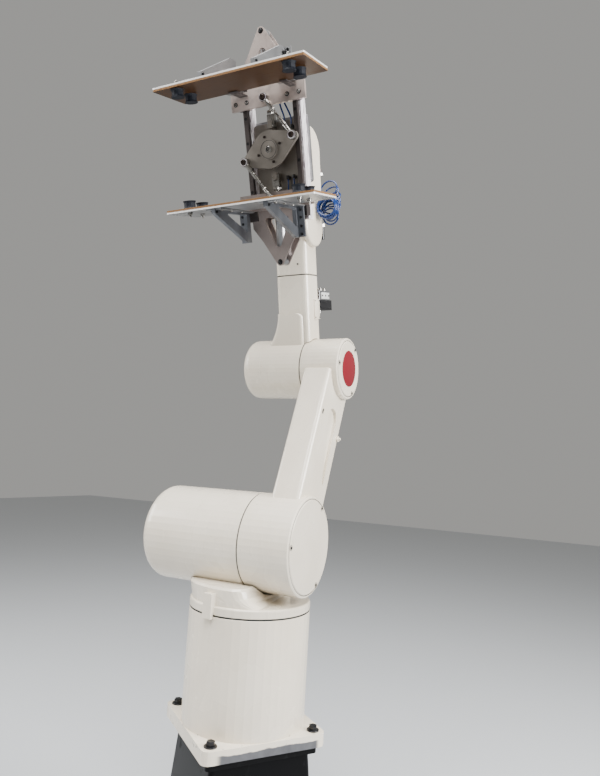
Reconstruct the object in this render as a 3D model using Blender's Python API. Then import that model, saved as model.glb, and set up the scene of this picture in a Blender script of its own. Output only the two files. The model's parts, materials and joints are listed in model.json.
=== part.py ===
"""Six-axis industrial robot arm on a steel pedestal, holding a two-jaw clamp.

Metres, +Z up. The origin is on the floor under the turning axis. X runs along
the shoulder drum, and the arm reaches towards -Y.
"""
import math

import bmesh
import bpy
from mathutils import Matrix, Vector

# Gaps that many pieces share
SEAT_GAP = 0.0003
BEARING_GAP = 0.0006
FREE_GAP = 0.006
SEAM_ROUND = 0.003
CUT_OVERRUN = 0.010

# Pedestal
PEDESTAL_HEIGHT = 0.500
FOOT_SIDE = 0.460
FOOT_THICKNESS = 0.022
FOOT_CORNER = 0.020
ANCHOR_INSET = 0.035
ANCHOR_HOLE_RADIUS = 0.011
STAND_FOOT_SIDE = 0.370
STAND_TOP_SIDE = 0.296
STAND_CORNER = 0.012
STAND_TOP_THICKNESS = 0.022
STAND_TOP_OVERHANG = 0.018

# Base casting, turned on the pedestal
BASE_TURN = math.radians(52.0)
BASE_SIDE = 0.367
BASE_PLATE_THICKNESS = 0.0354
BASE_CORNER = 0.022
BASE_BOLT_SPACING = 0.3078
BASE_BOLT_HOLE_RADIUS = 0.0075
COLUMN_RADIUS = 0.1822
TURN_SEAM_HEIGHT = 0.3565
PANEL_WIDTH = 0.200
PANEL_LOW = 0.062
PANEL_HIGH = 0.325
PANEL_PROUD = 0.012
PANEL_CORNER = 0.012

# Shoulder
SHOULDER_HEIGHT = 0.550
SHOULDER_RADIUS = 0.1466
SHOULDER_LEFT = 0.3335
SHOULDER_RIGHT = 0.1884
SHOULDER_SEAM = 0.0222
SHOULDER_COVER_SEAM = 0.135
SHOULDER_END_ROUND = 0.036
SHOULDER_END_DOME = 0.006
SHOULDER_CAP_RADIUS = 0.1386
NECK_ABOVE_SEAM = 0.0265
NECK_ROUND = 0.006
SHELF_RADIUS = 0.1765
SHELF_RIGHT = 0.066
SHELF_SWEEP = 0.038
SHELF_SWEEP_SHARES = (1.0, 1.0, 0.50, 0.18, 0.0, 0.0)
SHELF_CORNER = 0.040
SHELF_ABOVE_SEAM = 0.0775
SHELF_FLARE = 0.012
SHELF_EDGE = 0.006
STOP_LUG_WIDTH = 0.032
STOP_LUG_PROUD = 0.011
STOP_LUG_ABOVE_SEAM = 0.0595
STOP_LUG_DROP = 0.008
STOP_LUG_GAP = 0.0012
STOP_LUG_DIRECTION = math.radians(-100.0)

# Upper arm
UPPER_ARM_LENGTH = 0.625
UPPER_ARM_LEAN = math.radians(-23.6)
BEAM_LEFT = 0.072
BEAM_RIGHT = 0.166
BEAM_FRONT = 0.101
BEAM_BACK = 0.086
BEAM_CORNER = 0.011
BEAM_LEDGE = 0.0595
POCKET_DEPTH = 0.009
POCKET_TOP_RADIUS = 0.034
POCKET_TIP_RADIUS = 0.004
POCKET_TOP = 0.432
POCKET_TIP = 0.215
POCKET_TOP_BACKSET = 0.004
POCKET_TIP_BACKSET = 0.038

# Elbow and forearm
ELBOW_RADIUS = 0.1048
ELBOW_LEFT = 0.1810
ELBOW_RIGHT = 0.1873
ELBOW_SEAM = 0.0470
ELBOW_COVER_SEAM = 0.105
ELBOW_END_ROUND = 0.026
ELBOW_END_DOME = 0.004
ELBOW_CAP_RADIUS = 0.0958
FOREARM_LEAN = math.radians(13.8)
FOREARM_LEFT = 0.052
FOREARM_RIGHT = 0.066
FOREARM_HALF_DEPTH = 0.049
FOREARM_CORNER = 0.016
FLARE_FOOT_HEIGHT = 0.080
FLARE_TOP_HEIGHT = 0.197
FLARE_SPREAD = 0.043
FLARE_PROUD = 0.0075
FLARE_RIGHT = 0.046
FLARE_CORNER = 0.014
HUB_GAP = 0.003
WRIST_SEAM_HEIGHT = 0.327
VALVE_LEFT = 0.012
VALVE_RIGHT = 0.064
VALVE_DEPTH = 0.116
VALVE_BELOW_SEAM = 0.084
VALVE_HEIGHT = 0.036
MANIFOLD_HEIGHT = 0.033
MANIFOLD_DEPTH = 0.098
VALVE_PLATE_THICKNESS = 0.006
VALVE_PLATE_MARGIN = 0.004

# Round end caps of both drums
CAP_RECESS = 0.008
CAP_PROUD = 0.0024
CAP_GROOVE = 0.0009
CAP_ROUND = 0.003

# Wrist
WRIST_AXIS_HEIGHT = 0.745
WRIST_LEAN = math.radians(18.9)
TUBE_END_BELOW_BEND = 0.097
WRIST_AXIS_X = 0.007
EAR_THICKNESS = 0.028
EAR_RADIUS = 0.068
EAR_FOOT_BELOW_BEND = 0.145
COVER_HALF_WIDTH = 0.070
COVER_THICKNESS = 0.017
COVER_ABOVE_BEND = 0.077
COVER_BELOW_BEND = 0.323
COVER_ROUND = 0.006
FITTING_RADIUS = 0.0085
FITTING_SIDE = 0.0745
LOWER_FITTING_BELOW_BEND = 0.290
LOWER_FITTING_LENGTH = 0.055
UPPER_FITTING_BELOW_BEND = 0.050
UPPER_FITTING_LENGTH = 0.022
HOSE_COIL_RADIUS = 0.031
HOSE_COIL_THICKNESS = 0.010
HOSE_COIL_SIDE = 0.128
HOSE_COIL_DEPTH = 0.047
HOSE_COIL_BELOW_BEND = 0.192
HOSE_RADIUS = 0.0035
HOSE_SPIRAL_RADIUS = 0.0080
HOSE_STRAIGHT = 0.012
HOSE_KNEE_SIDE = 0.100
HOSE_KNEE_BACKSET = 0.006
HOSE_KNEE_RISE = 0.030
HEAD_RADIUS = 0.058
HEAD_LEFT = 0.052
HEAD_ROUND = 0.010
NOSE_RADIUS = 0.044
NOSE_NECK_RADIUS = 0.029
NOSE_START = 0.076
NOSE_REACH = 0.094
FLANGE_RADIUS = 0.045
FLANGE_REACH = 0.110

# Clamp: the crank's centre is its origin, its front faces lie in one plane
CRANK_SIDE_OFFSET = 0.0384
CRANK_DROP = 0.0295
CRANK_REACH = 0.2477
CRANK_THICKNESS = 0.010
CRANK_DISC_RADIUS = 0.056
CRANK_EYE_SIDE = 0.0843
CRANK_EYE_RISE = 0.0275
CRANK_EYE_RADIUS = 0.0135
CRANK_HUB_RADIUS = 0.030
CRANK_HUB_PROUD = 0.0045
SHAFT_RADIUS = 0.012
SHAFT_END = 0.050

ADAPTOR_RADIUS = 0.045
BACK_PLATE_FRONT = 0.0753
BACK_PLATE_THICKNESS = 0.012
BACK_PLATE_HALF_WIDTH = 0.104
BACK_PLATE_HALF_HEIGHT = 0.100
PLATE_CORNER = 0.008

RAIL_SIDE = 0.0855
RAIL_WIDTH = 0.014
RAIL_FRONT = 0.0260
RAIL_BACK = 0.0397
RAIL_HALF_LENGTH = 0.215
UPRIGHT_INNER = 0.0745
UPRIGHT_OUTER = 0.0985
UPRIGHT_FRONT = 0.0400
UPRIGHT_BACK = 0.0750

CENTRE_PLATE_FRONT = 0.055
CENTRE_PLATE_THICKNESS = 0.012
CENTRE_PLATE_TOP = 0.088
CENTRE_PLATE_BOTTOM = 0.130
BEARING_RADIUS = 0.036
BEARING_FRONT = 0.0150
LUG_HALF_WIDTH = 0.006
LUG_HALF_HEIGHT = 0.011
LUG_RISE = 0.076
LUG_FRONT = 0.019

CROSSBAR_LEFT = 0.117
CROSSBAR_RIGHT = 0.133
CROSSBAR_LOW = 0.126
CROSSBAR_HIGH = 0.176
CROSSBAR_THICKNESS = 0.010
LINK_PIN_RISE = 0.148
LINK_PIN_RADIUS = 0.005
LINK_PIN_REACH = 0.0155
RUNNER_HALF_WIDTH = 0.020
RUNNER_LOW = 0.131
RUNNER_HIGH = 0.206
RUNNER_BACK = 0.038
RUNNER_CLEARANCE = 0.0005

WEB_THICKNESS = 0.007
WEB_FOOT = 0.140
WEB_FOOT_HALF_WIDTH = 0.062
WEB_HALF_WIDTH = 0.085
WEB_SHOULDER = 0.228
WEB_NECK_SIDE = 0.052
WEB_NECK_RISE = 0.274
WEB_TIP_RISE = 0.338
WEB_TIP_RADIUS = 0.012
WEB_HOLE_TOP = 0.312
WEB_HOLE_LOW = 0.200
WEB_HOLE_HALF_WIDTH = 0.044
WEB_HOLE_ROUND = 0.006
WEB_HOLE_ARCH = 0.012
REAR_WEB_FRONT = 0.052
REAR_WEB_HALF_WIDTH = 0.068
REAR_WEB_LOW = 0.190
SPACER_INNER = 0.050
SPACER_OUTER = 0.064
SPACER_LOW = 0.194
SPACER_HIGH = 0.222

CYLINDER_DEPTH = 0.0348
CYLINDER_RADIUS = 0.0160
CYLINDER_LOW = 0.200
CYLINDER_HIGH = 0.318
CYLINDER_BORE_END = 0.297
CYLINDER_EYE_RADIUS = 0.011
ROD_RADIUS = 0.005
ROD_END = 0.258
FORK_HALF_WIDTH = 0.0115
FORK_LOW = 0.068
FORK_HIGH = 0.106
FORK_HALF_DEPTH = 0.008
TIP_PIN_RADIUS = 0.0048

JAW_LEFT = 0.252
JAW_RIGHT = 0.228
JAW_NEAR = 0.048
JAW_FAR = 0.212
JAW_FACE = 0.166
JAW_THICKNESS = 0.010
JAW_CORNER = 0.004
BUFFER_RADIUS = 0.0195
BUFFER_HEIGHT = 0.022
BUFFER_WAIST = 0.0025
BUFFER_SIDES = (-0.184, 0.172)
BUFFER_DEPTHS = (-0.186, -0.119)
BRACKET_INNERS = (0.0880, 0.0700)
BRACKET_FLANGE = 0.020
BRACKET_FLANGE_THICKNESS = 0.008
BRACKET_THICKNESS = 0.012
BRACKET_REACH = 0.205
BRACKET_DROP = 0.094
BRACKET_BAR = 0.020
BRACKET_FOOT = 0.030
BRACKET_TIP = 0.014

LINK_EYE_RADIUS = 0.0135
LINK_THICKNESS = 0.014
LINK_BORE_RADIUS = 0.0058
LINK_LOOSE_BORE_RADIUS = 0.0085
LINK_BAR_RADIUS = 0.0042
LINK_NUT_RADIUS = 0.0068
LINK_NUT_LENGTH = 0.006
LINK_SLEEVE_RADIUS = 0.0062
LINK_SLEEVE_LENGTH = 0.046

# Sides of the round shapes
DRUM_SIDES = 48
PART_SIDES = 32
PIN_SIDES = 16
CORNER_STEPS = 4
HOSE_SIDES = 8

AXES = {"X": (1, 2, 0), "Y": (0, 2, 1), "Z": (0, 1, 2)}


def clear_scene():
    for thing in list(bpy.data.objects):
        bpy.data.objects.remove(thing, do_unlink=True)


def material(name, colour, roughness, metallic):
    found = bpy.data.materials.get(name) or bpy.data.materials.new(name)
    found.use_nodes = True
    surface = found.node_tree.nodes["Principled BSDF"]
    surface.inputs["Base Color"].default_value = (*colour, 1.0)
    surface.inputs["Roughness"].default_value = roughness
    surface.inputs["Metallic"].default_value = metallic
    found.diffuse_color = (*colour, 1.0)
    return found


def cream_paint():
    return material("cream_paint", (0.78, 0.75, 0.67), 0.28, 0.0)


def black_paint():
    return material("black_paint", (0.02, 0.02, 0.022), 0.45, 0.0)


def bare_aluminium():
    return material("aluminium", (0.62, 0.62, 0.63), 0.35, 0.9)


def grey_steel():
    return material("grey_steel", (0.38, 0.36, 0.33), 0.40, 0.9)


def bright_steel():
    return material("bright_steel", (0.66, 0.65, 0.62), 0.22, 1.0)


def dark_steel():
    return material("dark_steel", (0.10, 0.10, 0.11), 0.38, 0.8)


def plywood():
    return material("plywood", (0.36, 0.20, 0.10), 0.50, 0.0)


def rubber():
    return material("rubber", (0.03, 0.035, 0.045), 0.60, 0.0)


def blue_hose():
    return material("blue_hose", (0.01, 0.12, 0.50), 0.25, 0.0)


def axis_empty(name, parent, place, lean=0.0, turn=0.0):
    """An empty on a joint's axis; lean is about X and turn about Z."""
    marker = bpy.data.objects.new(name, None)
    marker.location = place
    marker.rotation_euler = (lean, 0.0, turn)
    marker.parent = parent
    marker.empty_display_size = SEAM_ROUND
    bpy.context.scene.collection.objects.link(marker)
    return marker


def put(axis, first, second, along):
    """A point from its two coordinates across an axis and one along it."""
    across_1, across_2, own = AXES[axis]
    point = Vector((0.0, 0.0, 0.0))
    point[across_1] = first
    point[across_2] = second
    point[own] = along
    return point


def skin_rings(shape, rings, closed_ends=True):
    """Joins rings of equal length with quads and caps the two ends."""
    for lower, upper in zip(rings, rings[1:]):
        count = len(lower)
        for index in range(count):
            following = (index + 1) % count
            shape.faces.new((lower[index], lower[following], upper[following], upper[index]))
    if closed_ends:
        shape.faces.new(list(reversed(rings[0])))
        shape.faces.new(rings[-1])


def prism(outline, low, high, axis):
    """An outline pushed along an axis from low to high."""
    shape = bmesh.new()
    rings = []
    for level in (low, high):
        rings.append([shape.verts.new(put(axis, first, second, level)) for first, second in outline])
    skin_rings(shape, rings)
    return shape


def loft(sections, axis):
    """Outlines of equal length, each with its level along the axis."""
    shape = bmesh.new()
    rings = []
    for outline, level in sections:
        rings.append([shape.verts.new(put(axis, first, second, level)) for first, second in outline])
    skin_rings(shape, rings)
    return shape


def turned(profile, axis, centre=(0.0, 0.0), sides=DRUM_SIDES):
    """A profile of (radius, level) points turned about an axis, from centre line to centre line."""
    shape = bmesh.new()
    rings = []
    for radius, level in profile[1:-1]:
        ring = []
        for step in range(sides):
            angle = math.tau * step / sides
            first = centre[0] + radius * math.cos(angle)
            second = centre[1] + radius * math.sin(angle)
            ring.append(shape.verts.new(put(axis, first, second, level)))
        rings.append(ring)
    skin_rings(shape, rings, closed_ends=False)
    for (radius, level), ring in ((profile[0], rings[0]), (profile[-1], rings[-1])):
        pole = shape.verts.new(put(axis, centre[0], centre[1], level))
        for step in range(sides):
            shape.faces.new((ring[step], ring[(step + 1) % sides], pole))
    return shape


def rod(radius, low, high, axis, centre=(0.0, 0.0), sides=PART_SIDES):
    return prism(circle(centre, radius, sides), low, high, axis)


def torus(radius, thickness, sides, tube_sides):
    """A ring about Y, round its own origin."""
    shape = bmesh.new()
    rings = []
    for step in range(sides):
        angle = math.tau * step / sides
        outward = Vector((math.cos(angle), 0.0, math.sin(angle)))
        rings.append([shape.verts.new(outward * (radius + first) + Vector((0.0, second, 0.0)))
                      for first, second in circle((0.0, 0.0), thickness, tube_sides)])
    skin_rings(shape, rings + rings[:1], closed_ends=False)
    return shape


def straight_tube(start, end, radius, sides):
    run = Vector(end) - Vector(start)
    tube = rod(radius, 0.0, run.length, "Z", sides=sides)
    turn = run.to_track_quat("Z", "Y").to_matrix().to_4x4()
    return moved(tube, Matrix.Translation(start) @ turn)


def circle(centre, radius, sides):
    return [(centre[0] + radius * math.cos(math.tau * step / sides),
             centre[1] + radius * math.sin(math.tau * step / sides)) for step in range(sides)]


def arc(centre, radius, start, end, steps):
    """Points on an arc, angles in degrees."""
    points = []
    for step in range(steps + 1):
        angle = math.radians(start + (end - start) * step / steps)
        points.append((centre[0] + radius * math.cos(angle), centre[1] + radius * math.sin(angle)))
    return points


def rounded_rectangle(low_1, high_1, low_2, high_2, corner, steps=CORNER_STEPS):
    points = []
    points += arc((high_1 - corner, high_2 - corner), corner, 0, 90, steps)
    points += arc((low_1 + corner, high_2 - corner), corner, 90, 180, steps)
    points += arc((low_1 + corner, low_2 + corner), corner, 180, 270, steps)
    points += arc((high_1 - corner, low_2 + corner), corner, 270, 360, steps)
    return points


def rectangle(low_1, high_1, low_2, high_2):
    return [(low_1, low_2), (high_1, low_2), (high_1, high_2), (low_1, high_2)]


def box(low, high):
    return prism(rectangle(low[0], high[0], low[1], high[1]), low[2], high[2], "Z")


def rounded_polygon(corners, radii, steps=CORNER_STEPS):
    """A polygon whose corners are rounded, each by its own radius (zero keeps it sharp)."""
    points = []
    count = len(corners)
    for index in range(count):
        corner = Vector(corners[index])
        before = (Vector(corners[index - 1]) - corner).normalized()
        after = (Vector(corners[(index + 1) % count]) - corner).normalized()
        radius = radii[index]
        if radius == 0:
            points.append(tuple(corner))
            continue
        half = before.angle(after) / 2
        middle = corner + (before + after).normalized() * (radius / math.sin(half))
        first = corner + before * (radius / math.tan(half)) - middle
        last = corner + after * (radius / math.tan(half)) - middle
        start = math.atan2(first.y, first.x)
        sweep = math.remainder(math.atan2(last.y, last.x) - start, math.tau)
        for step in range(steps + 1):
            angle = start + sweep * step / steps
            points.append((middle.x + radius * math.cos(angle), middle.y + radius * math.sin(angle)))
    return points


def mirrored(outline):
    """The same outline on the other side of its first axis, wound the same way round."""
    return [(first, -second) for first, second in reversed(outline)]


def moved(shape, matrix):
    bmesh.ops.transform(shape, matrix=matrix, verts=shape.verts)
    return shape


def object_of(name, shape, parent):
    bmesh.ops.recalc_face_normals(shape, faces=shape.faces)
    mesh = bpy.data.meshes.new(name)
    shape.to_mesh(mesh)
    shape.free()
    thing = bpy.data.objects.new(name, mesh)
    thing.parent = parent
    bpy.context.scene.collection.objects.link(thing)
    return thing


def piece(name, shape, parent, finish, add=(), cut=()):
    """One named sub-part: a shape, the shapes united with it and the shapes cut from it."""
    thing = object_of(name, shape, parent)
    thing.data.materials.append(finish)
    thing.data.shade_smooth()
    thing.data.set_sharp_from_angle(angle=math.radians(30.0))
    for operation, shapes in (("UNION", add), ("DIFFERENCE", cut)):
        for number, tool_shape in enumerate(shapes):
            tool = object_of(f"guide_{name}_{operation.lower()}_{number}", tool_shape, parent)
            tool.hide_render = True
            tool.display_type = "WIRE"
            step = thing.modifiers.new(operation.title() + str(number), "BOOLEAN")
            step.operation = operation
            step.solver = "EXACT"
            step.object = tool
    return thing


def build_pedestal(floor):
    """A tapered box welded between a foot plate and a top plate."""
    foot_half = FOOT_SIDE / 2
    anchor = foot_half - ANCHOR_INSET
    places = [(side_1 * anchor, side_2 * anchor) for side_1 in (-1, 1) for side_2 in (-1, 1)]
    holes = [rod(ANCHOR_HOLE_RADIUS, -CUT_OVERRUN, FOOT_THICKNESS + CUT_OVERRUN, "Z", place, PIN_SIDES)
             for place in places]
    foot = prism(rounded_rectangle(-foot_half, foot_half, -foot_half, foot_half, FOOT_CORNER),
                 0.0, FOOT_THICKNESS, "Z")
    low = STAND_FOOT_SIDE / 2
    high = STAND_TOP_SIDE / 2
    plate_low = PEDESTAL_HEIGHT - STAND_TOP_THICKNESS
    stand = loft([(rounded_rectangle(-low, low, -low, low, STAND_CORNER), FOOT_THICKNESS / 2),
                  (rounded_rectangle(-high, high, -high, high, STAND_CORNER), plate_low + STAND_TOP_THICKNESS / 2)],
                 "Z")
    half = high + STAND_TOP_OVERHANG
    top = prism(rounded_rectangle(-half, half, -half, half, STAND_CORNER), plate_low,
                PEDESTAL_HEIGHT - SEAT_GAP, "Z")
    piece("pedestal", foot, floor, black_paint(), add=[stand, top],
          cut=holes + bolt_holes(plate_low, PEDESTAL_HEIGHT))


def bolt_holes(low, high):
    half = BASE_BOLT_SPACING / 2
    return [rod(BASE_BOLT_HOLE_RADIUS, low - CUT_OVERRUN, high + CUT_OVERRUN, "Z", (side_1 * half, side_2 * half),
                PIN_SIDES) for side_1 in (-1, 1) for side_2 in (-1, 1)]


def build_base(floor):
    half = BASE_SIDE / 2
    plate_top = PEDESTAL_HEIGHT + BASE_PLATE_THICKNESS
    seam = PEDESTAL_HEIGHT + TURN_SEAM_HEIGHT - BEARING_GAP / 2
    plate = prism(rounded_rectangle(-half, half, -half, half, BASE_CORNER), PEDESTAL_HEIGHT, plate_top, "Z")
    column = turned([(0.0, PEDESTAL_HEIGHT + BASE_PLATE_THICKNESS / 2),
                     (COLUMN_RADIUS, PEDESTAL_HEIGHT + BASE_PLATE_THICKNESS / 2),
                     (COLUMN_RADIUS, seam - SEAM_ROUND),
                     (COLUMN_RADIUS - SEAM_ROUND, seam),
                     (0.0, seam)], "Z")
    piece("base_casting", plate, floor, cream_paint(), add=[column],
          cut=bolt_holes(PEDESTAL_HEIGHT, plate_top))

    panel_low = PEDESTAL_HEIGHT + PANEL_LOW
    panel_high = PEDESTAL_HEIGHT + PANEL_HIGH
    panel = prism(rounded_rectangle(-PANEL_WIDTH / 2, PANEL_WIDTH / 2, panel_low, panel_high, PANEL_CORNER),
                  COLUMN_RADIUS - 4 * PANEL_PROUD, COLUMN_RADIUS + PANEL_PROUD, "Y")
    around = rod(COLUMN_RADIUS + SEAT_GAP, panel_low - CUT_OVERRUN, panel_high + CUT_OVERRUN, "Z",
                 sides=DRUM_SIDES)
    piece("rear_connector_panel", panel, floor, cream_paint(), cut=[around])


def build_shoulder(turning):
    """The neck and drum that turn on the base, in heights above the turning seam."""
    axis_rise = SHOULDER_HEIGHT - TURN_SEAM_HEIGHT
    neck_top = NECK_ABOVE_SEAM
    neck = turned([(0.0, BEARING_GAP / 2),
                   (COLUMN_RADIUS - SEAM_ROUND, BEARING_GAP / 2),
                   (COLUMN_RADIUS, BEARING_GAP / 2 + SEAM_ROUND)]
                  + arc((COLUMN_RADIUS - NECK_ROUND, neck_top - NECK_ROUND), NECK_ROUND, 0, 90, CORNER_STEPS)
                  + [(0.0, neck_top)], "Z")
    drum = turned([(0.0, -SHOULDER_COVER_SEAM + SEAT_GAP / 2),
                   (SHOULDER_RADIUS, -SHOULDER_COVER_SEAM + SEAT_GAP / 2),
                   (SHOULDER_RADIUS, SHOULDER_SEAM - BEARING_GAP / 2 - SEAM_ROUND),
                   (SHOULDER_RADIUS - SEAM_ROUND, SHOULDER_SEAM - BEARING_GAP / 2),
                   (0.0, SHOULDER_SEAM - BEARING_GAP / 2)], "X", (0.0, axis_rise))
    shelf_foot = neck_top - NECK_ROUND
    shelf_top = SHELF_ABOVE_SEAM
    rise = shelf_top - neck_top
    levels = [shelf_foot, neck_top, neck_top + rise / 4, neck_top + rise / 2, shelf_top - SHELF_EDGE, shelf_top]
    flares = [0.0, 0.0, SHELF_FLARE / 6, SHELF_FLARE / 2, SHELF_FLARE, SHELF_FLARE]
    insets = [0.0, 0.0, 0.0, 0.0, 0.0, SHELF_EDGE]
    shelf = loft([(shelf_outline(flare, inset, share * SHELF_SWEEP), level)
                  for level, flare, inset, share in zip(levels, flares, insets, SHELF_SWEEP_SHARES)], "Z")
    lug_reach = COLUMN_RADIUS + STOP_LUG_PROUD
    lug_root = SHELF_RADIUS - SHELF_CORNER
    tab_inner = COLUMN_RADIUS + STOP_LUG_GAP
    lug_top = STOP_LUG_ABOVE_SEAM
    lug = prism([(lug_root, NECK_ROUND), (tab_inner, NECK_ROUND), (tab_inner, -STOP_LUG_DROP),
                 (lug_reach, -STOP_LUG_DROP), (lug_reach, lug_top), (lug_root, lug_top)],
                -STOP_LUG_WIDTH / 2, STOP_LUG_WIDTH / 2, "Y")
    moved(lug, Matrix.Rotation(STOP_LUG_DIRECTION, 4, "Z"))
    hub_room = rod(SHOULDER_RADIUS + FREE_GAP, SHOULDER_SEAM - BEARING_GAP / 2,
                   SHOULDER_RIGHT + COLUMN_RADIUS, "X", (0.0, axis_rise), DRUM_SIDES)
    cover_room = rod(SHOULDER_RADIUS + SEAT_GAP, -SHOULDER_LEFT, -SHOULDER_COVER_SEAM + SEAT_GAP / 2, "X",
                     (0.0, axis_rise), DRUM_SIDES)
    piece("shoulder_housing", neck, turning, cream_paint(), add=[shelf, drum, lug], cut=[hub_room, cover_room])

    end = -SHOULDER_LEFT + SHOULDER_END_DOME
    cover = turned([(0.0, -SHOULDER_COVER_SEAM - SEAT_GAP / 2),
                    (SHOULDER_RADIUS, -SHOULDER_COVER_SEAM - SEAT_GAP / 2)]
                   + arc_on_drum(SHOULDER_RADIUS, end, SHOULDER_END_ROUND, -1)
                   + [(0.0, -SHOULDER_LEFT)], "X", (0.0, axis_rise))
    piece("shoulder_left_cover", cover, turning, cream_paint())


def shelf_outline(flare, inset, sweep):
    """The neck under the drum from above: round, flared to the left and swept out under the hub at the front."""
    radius = SHELF_RADIUS - inset
    corner = SHELF_CORNER - inset
    backs = (SHELF_RIGHT - SHELF_CORNER, SHELF_RIGHT - SHELF_CORNER + sweep)
    centres = [(across, math.sqrt((radius - corner) ** 2 - across ** 2)) for across in backs]
    headings = [math.degrees(math.atan2(along, across)) for across, along in centres]
    points = arc(centres[0], corner, 0, headings[0], CORNER_STEPS)
    points += arc((0.0, 0.0), radius, headings[0], 360 - headings[1], PART_SIDES)[1:-1]
    points += arc((centres[1][0], -centres[1][1]), corner, 360 - headings[1], 360, CORNER_STEPS)
    return [(first * (1 + flare / SHELF_RADIUS) if first < 0 else first, second) for first, second in points]


def arc_on_drum(radius, end, rounding, side, steps=5):
    """The rounded edge of a drum, from its side to its end face, as (radius, level) points."""
    centre_radius = radius - rounding
    centre_level = end - side * rounding
    points = []
    for step in range(steps + 1):
        angle = math.pi / 2 * step / steps
        points.append((centre_radius + rounding * math.cos(angle), centre_level + side * rounding * math.sin(angle)))
    return points


def hub(radius, cap_radius, seam, right):
    """A drum end with a recess for its cap, turned about X at the shoulder or elbow."""
    ring_end = right - CAP_PROUD
    return [(0.0, right - CAP_RECESS),
            (cap_radius + CAP_GROOVE, right - CAP_RECESS),
            (cap_radius + CAP_GROOVE, ring_end),
            (radius - SEAM_ROUND, ring_end),
            (radius, ring_end - SEAM_ROUND),
            (radius, seam + BEARING_GAP / 2 + SEAM_ROUND),
            (radius - SEAM_ROUND, seam + BEARING_GAP / 2),
            (0.0, seam + BEARING_GAP / 2)]


def cap(cap_radius, right):
    return [(0.0, right - CAP_RECESS + SEAT_GAP),
            (cap_radius, right - CAP_RECESS + SEAT_GAP),
            (cap_radius, right - CAP_ROUND),
            (cap_radius - CAP_ROUND, right),
            (0.0, right)]


def build_upper_arm(swinging):
    shoulder_hub = turned(hub(SHOULDER_RADIUS, SHOULDER_CAP_RADIUS, SHOULDER_SEAM, SHOULDER_RIGHT), "X")
    elbow_hub = turned(hub(ELBOW_RADIUS, ELBOW_CAP_RADIUS, ELBOW_SEAM, ELBOW_RIGHT), "X",
                       (0.0, UPPER_ARM_LENGTH))
    beam = prism(rounded_rectangle(BEAM_LEFT, BEAM_RIGHT, -BEAM_FRONT, BEAM_BACK, BEAM_CORNER),
                 SHOULDER_RADIUS / 2, UPPER_ARM_LENGTH - BEAM_LEDGE, "Z")
    top = (POCKET_TOP_BACKSET, POCKET_TOP)
    tip = (POCKET_TIP_BACKSET, POCKET_TIP)
    pocket = prism(stretched_round(top, POCKET_TOP_RADIUS, tip, POCKET_TIP_RADIUS),
                   BEAM_RIGHT - POCKET_DEPTH, BEAM_RIGHT + CUT_OVERRUN, "X")
    piece("upper_arm", shoulder_hub, swinging, cream_paint(), add=[beam, elbow_hub], cut=[pocket])

    piece("shoulder_cap", turned(cap(SHOULDER_CAP_RADIUS, SHOULDER_RIGHT), "X"), swinging, cream_paint())
    piece("elbow_cap", turned(cap(ELBOW_CAP_RADIUS, ELBOW_RIGHT), "X", (0.0, UPPER_ARM_LENGTH)), swinging,
          cream_paint())


def stretched_round(first, first_radius, second, second_radius, steps=8):
    """The outline around two circles and their outer tangents."""
    run = Vector(second) - Vector(first)
    heading = math.degrees(math.atan2(run.y, run.x))
    swing = math.degrees(math.acos((first_radius - second_radius) / run.length))
    points = arc(second, second_radius, heading - swing, heading + swing, steps)
    points += arc(first, first_radius, heading + swing, heading + 360 - swing, steps)
    return points


def build_forearm(folding):
    drum = turned([(0.0, -ELBOW_COVER_SEAM + SEAT_GAP / 2),
                   (ELBOW_RADIUS, -ELBOW_COVER_SEAM + SEAT_GAP / 2),
                   (ELBOW_RADIUS, ELBOW_SEAM - BEARING_GAP / 2 - SEAM_ROUND),
                   (ELBOW_RADIUS - SEAM_ROUND, ELBOW_SEAM - BEARING_GAP / 2),
                   (0.0, ELBOW_SEAM - BEARING_GAP / 2)], "X")
    seam = WRIST_SEAM_HEIGHT - BEARING_GAP / 2
    straight = forearm_outline(FOREARM_CORNER)
    tube = loft([(straight, FLARE_FOOT_HEIGHT), (straight, seam - SEAM_ROUND), (inset_outline(SEAM_ROUND), seam)], "Z")
    sections = []
    steps = 8
    for step in range(steps + 1):
        share = math.sin(math.pi / 2 * step / steps)
        height = FLARE_FOOT_HEIGHT + (FLARE_TOP_HEIGHT - FLARE_FOOT_HEIGHT) * share
        above_corner = max(0.0, height - FLARE_TOP_HEIGHT + FLARE_CORNER)
        right = FLARE_RIGHT - FLARE_CORNER + math.sqrt(FLARE_CORNER ** 2 - above_corner ** 2)
        outline = rounded_rectangle(-FOREARM_LEFT - FLARE_SPREAD * (1 - share) ** 2, right,
                                    -FOREARM_HALF_DEPTH - FLARE_PROUD, FOREARM_HALF_DEPTH, FLARE_CORNER)
        sections.append((outline, height))
    flare = loft(sections, "Z")
    hub_room = rod(ELBOW_RADIUS + HUB_GAP, ELBOW_SEAM - BEARING_GAP / 2, ELBOW_RIGHT + FOREARM_RIGHT, "X",
                   sides=DRUM_SIDES)
    piece("forearm_casting", drum, folding, cream_paint(), add=[tube, flare], cut=[hub_room])

    cover = turned([(0.0, -ELBOW_COVER_SEAM - SEAT_GAP / 2),
                    (ELBOW_RADIUS, -ELBOW_COVER_SEAM - SEAT_GAP / 2)]
                   + arc_on_drum(ELBOW_RADIUS, -ELBOW_LEFT + ELBOW_END_DOME, ELBOW_END_ROUND, -1)
                   + [(0.0, -ELBOW_LEFT)], "X")
    piece("elbow_left_cover", cover, folding, cream_paint())

    build_valves(folding)


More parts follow.
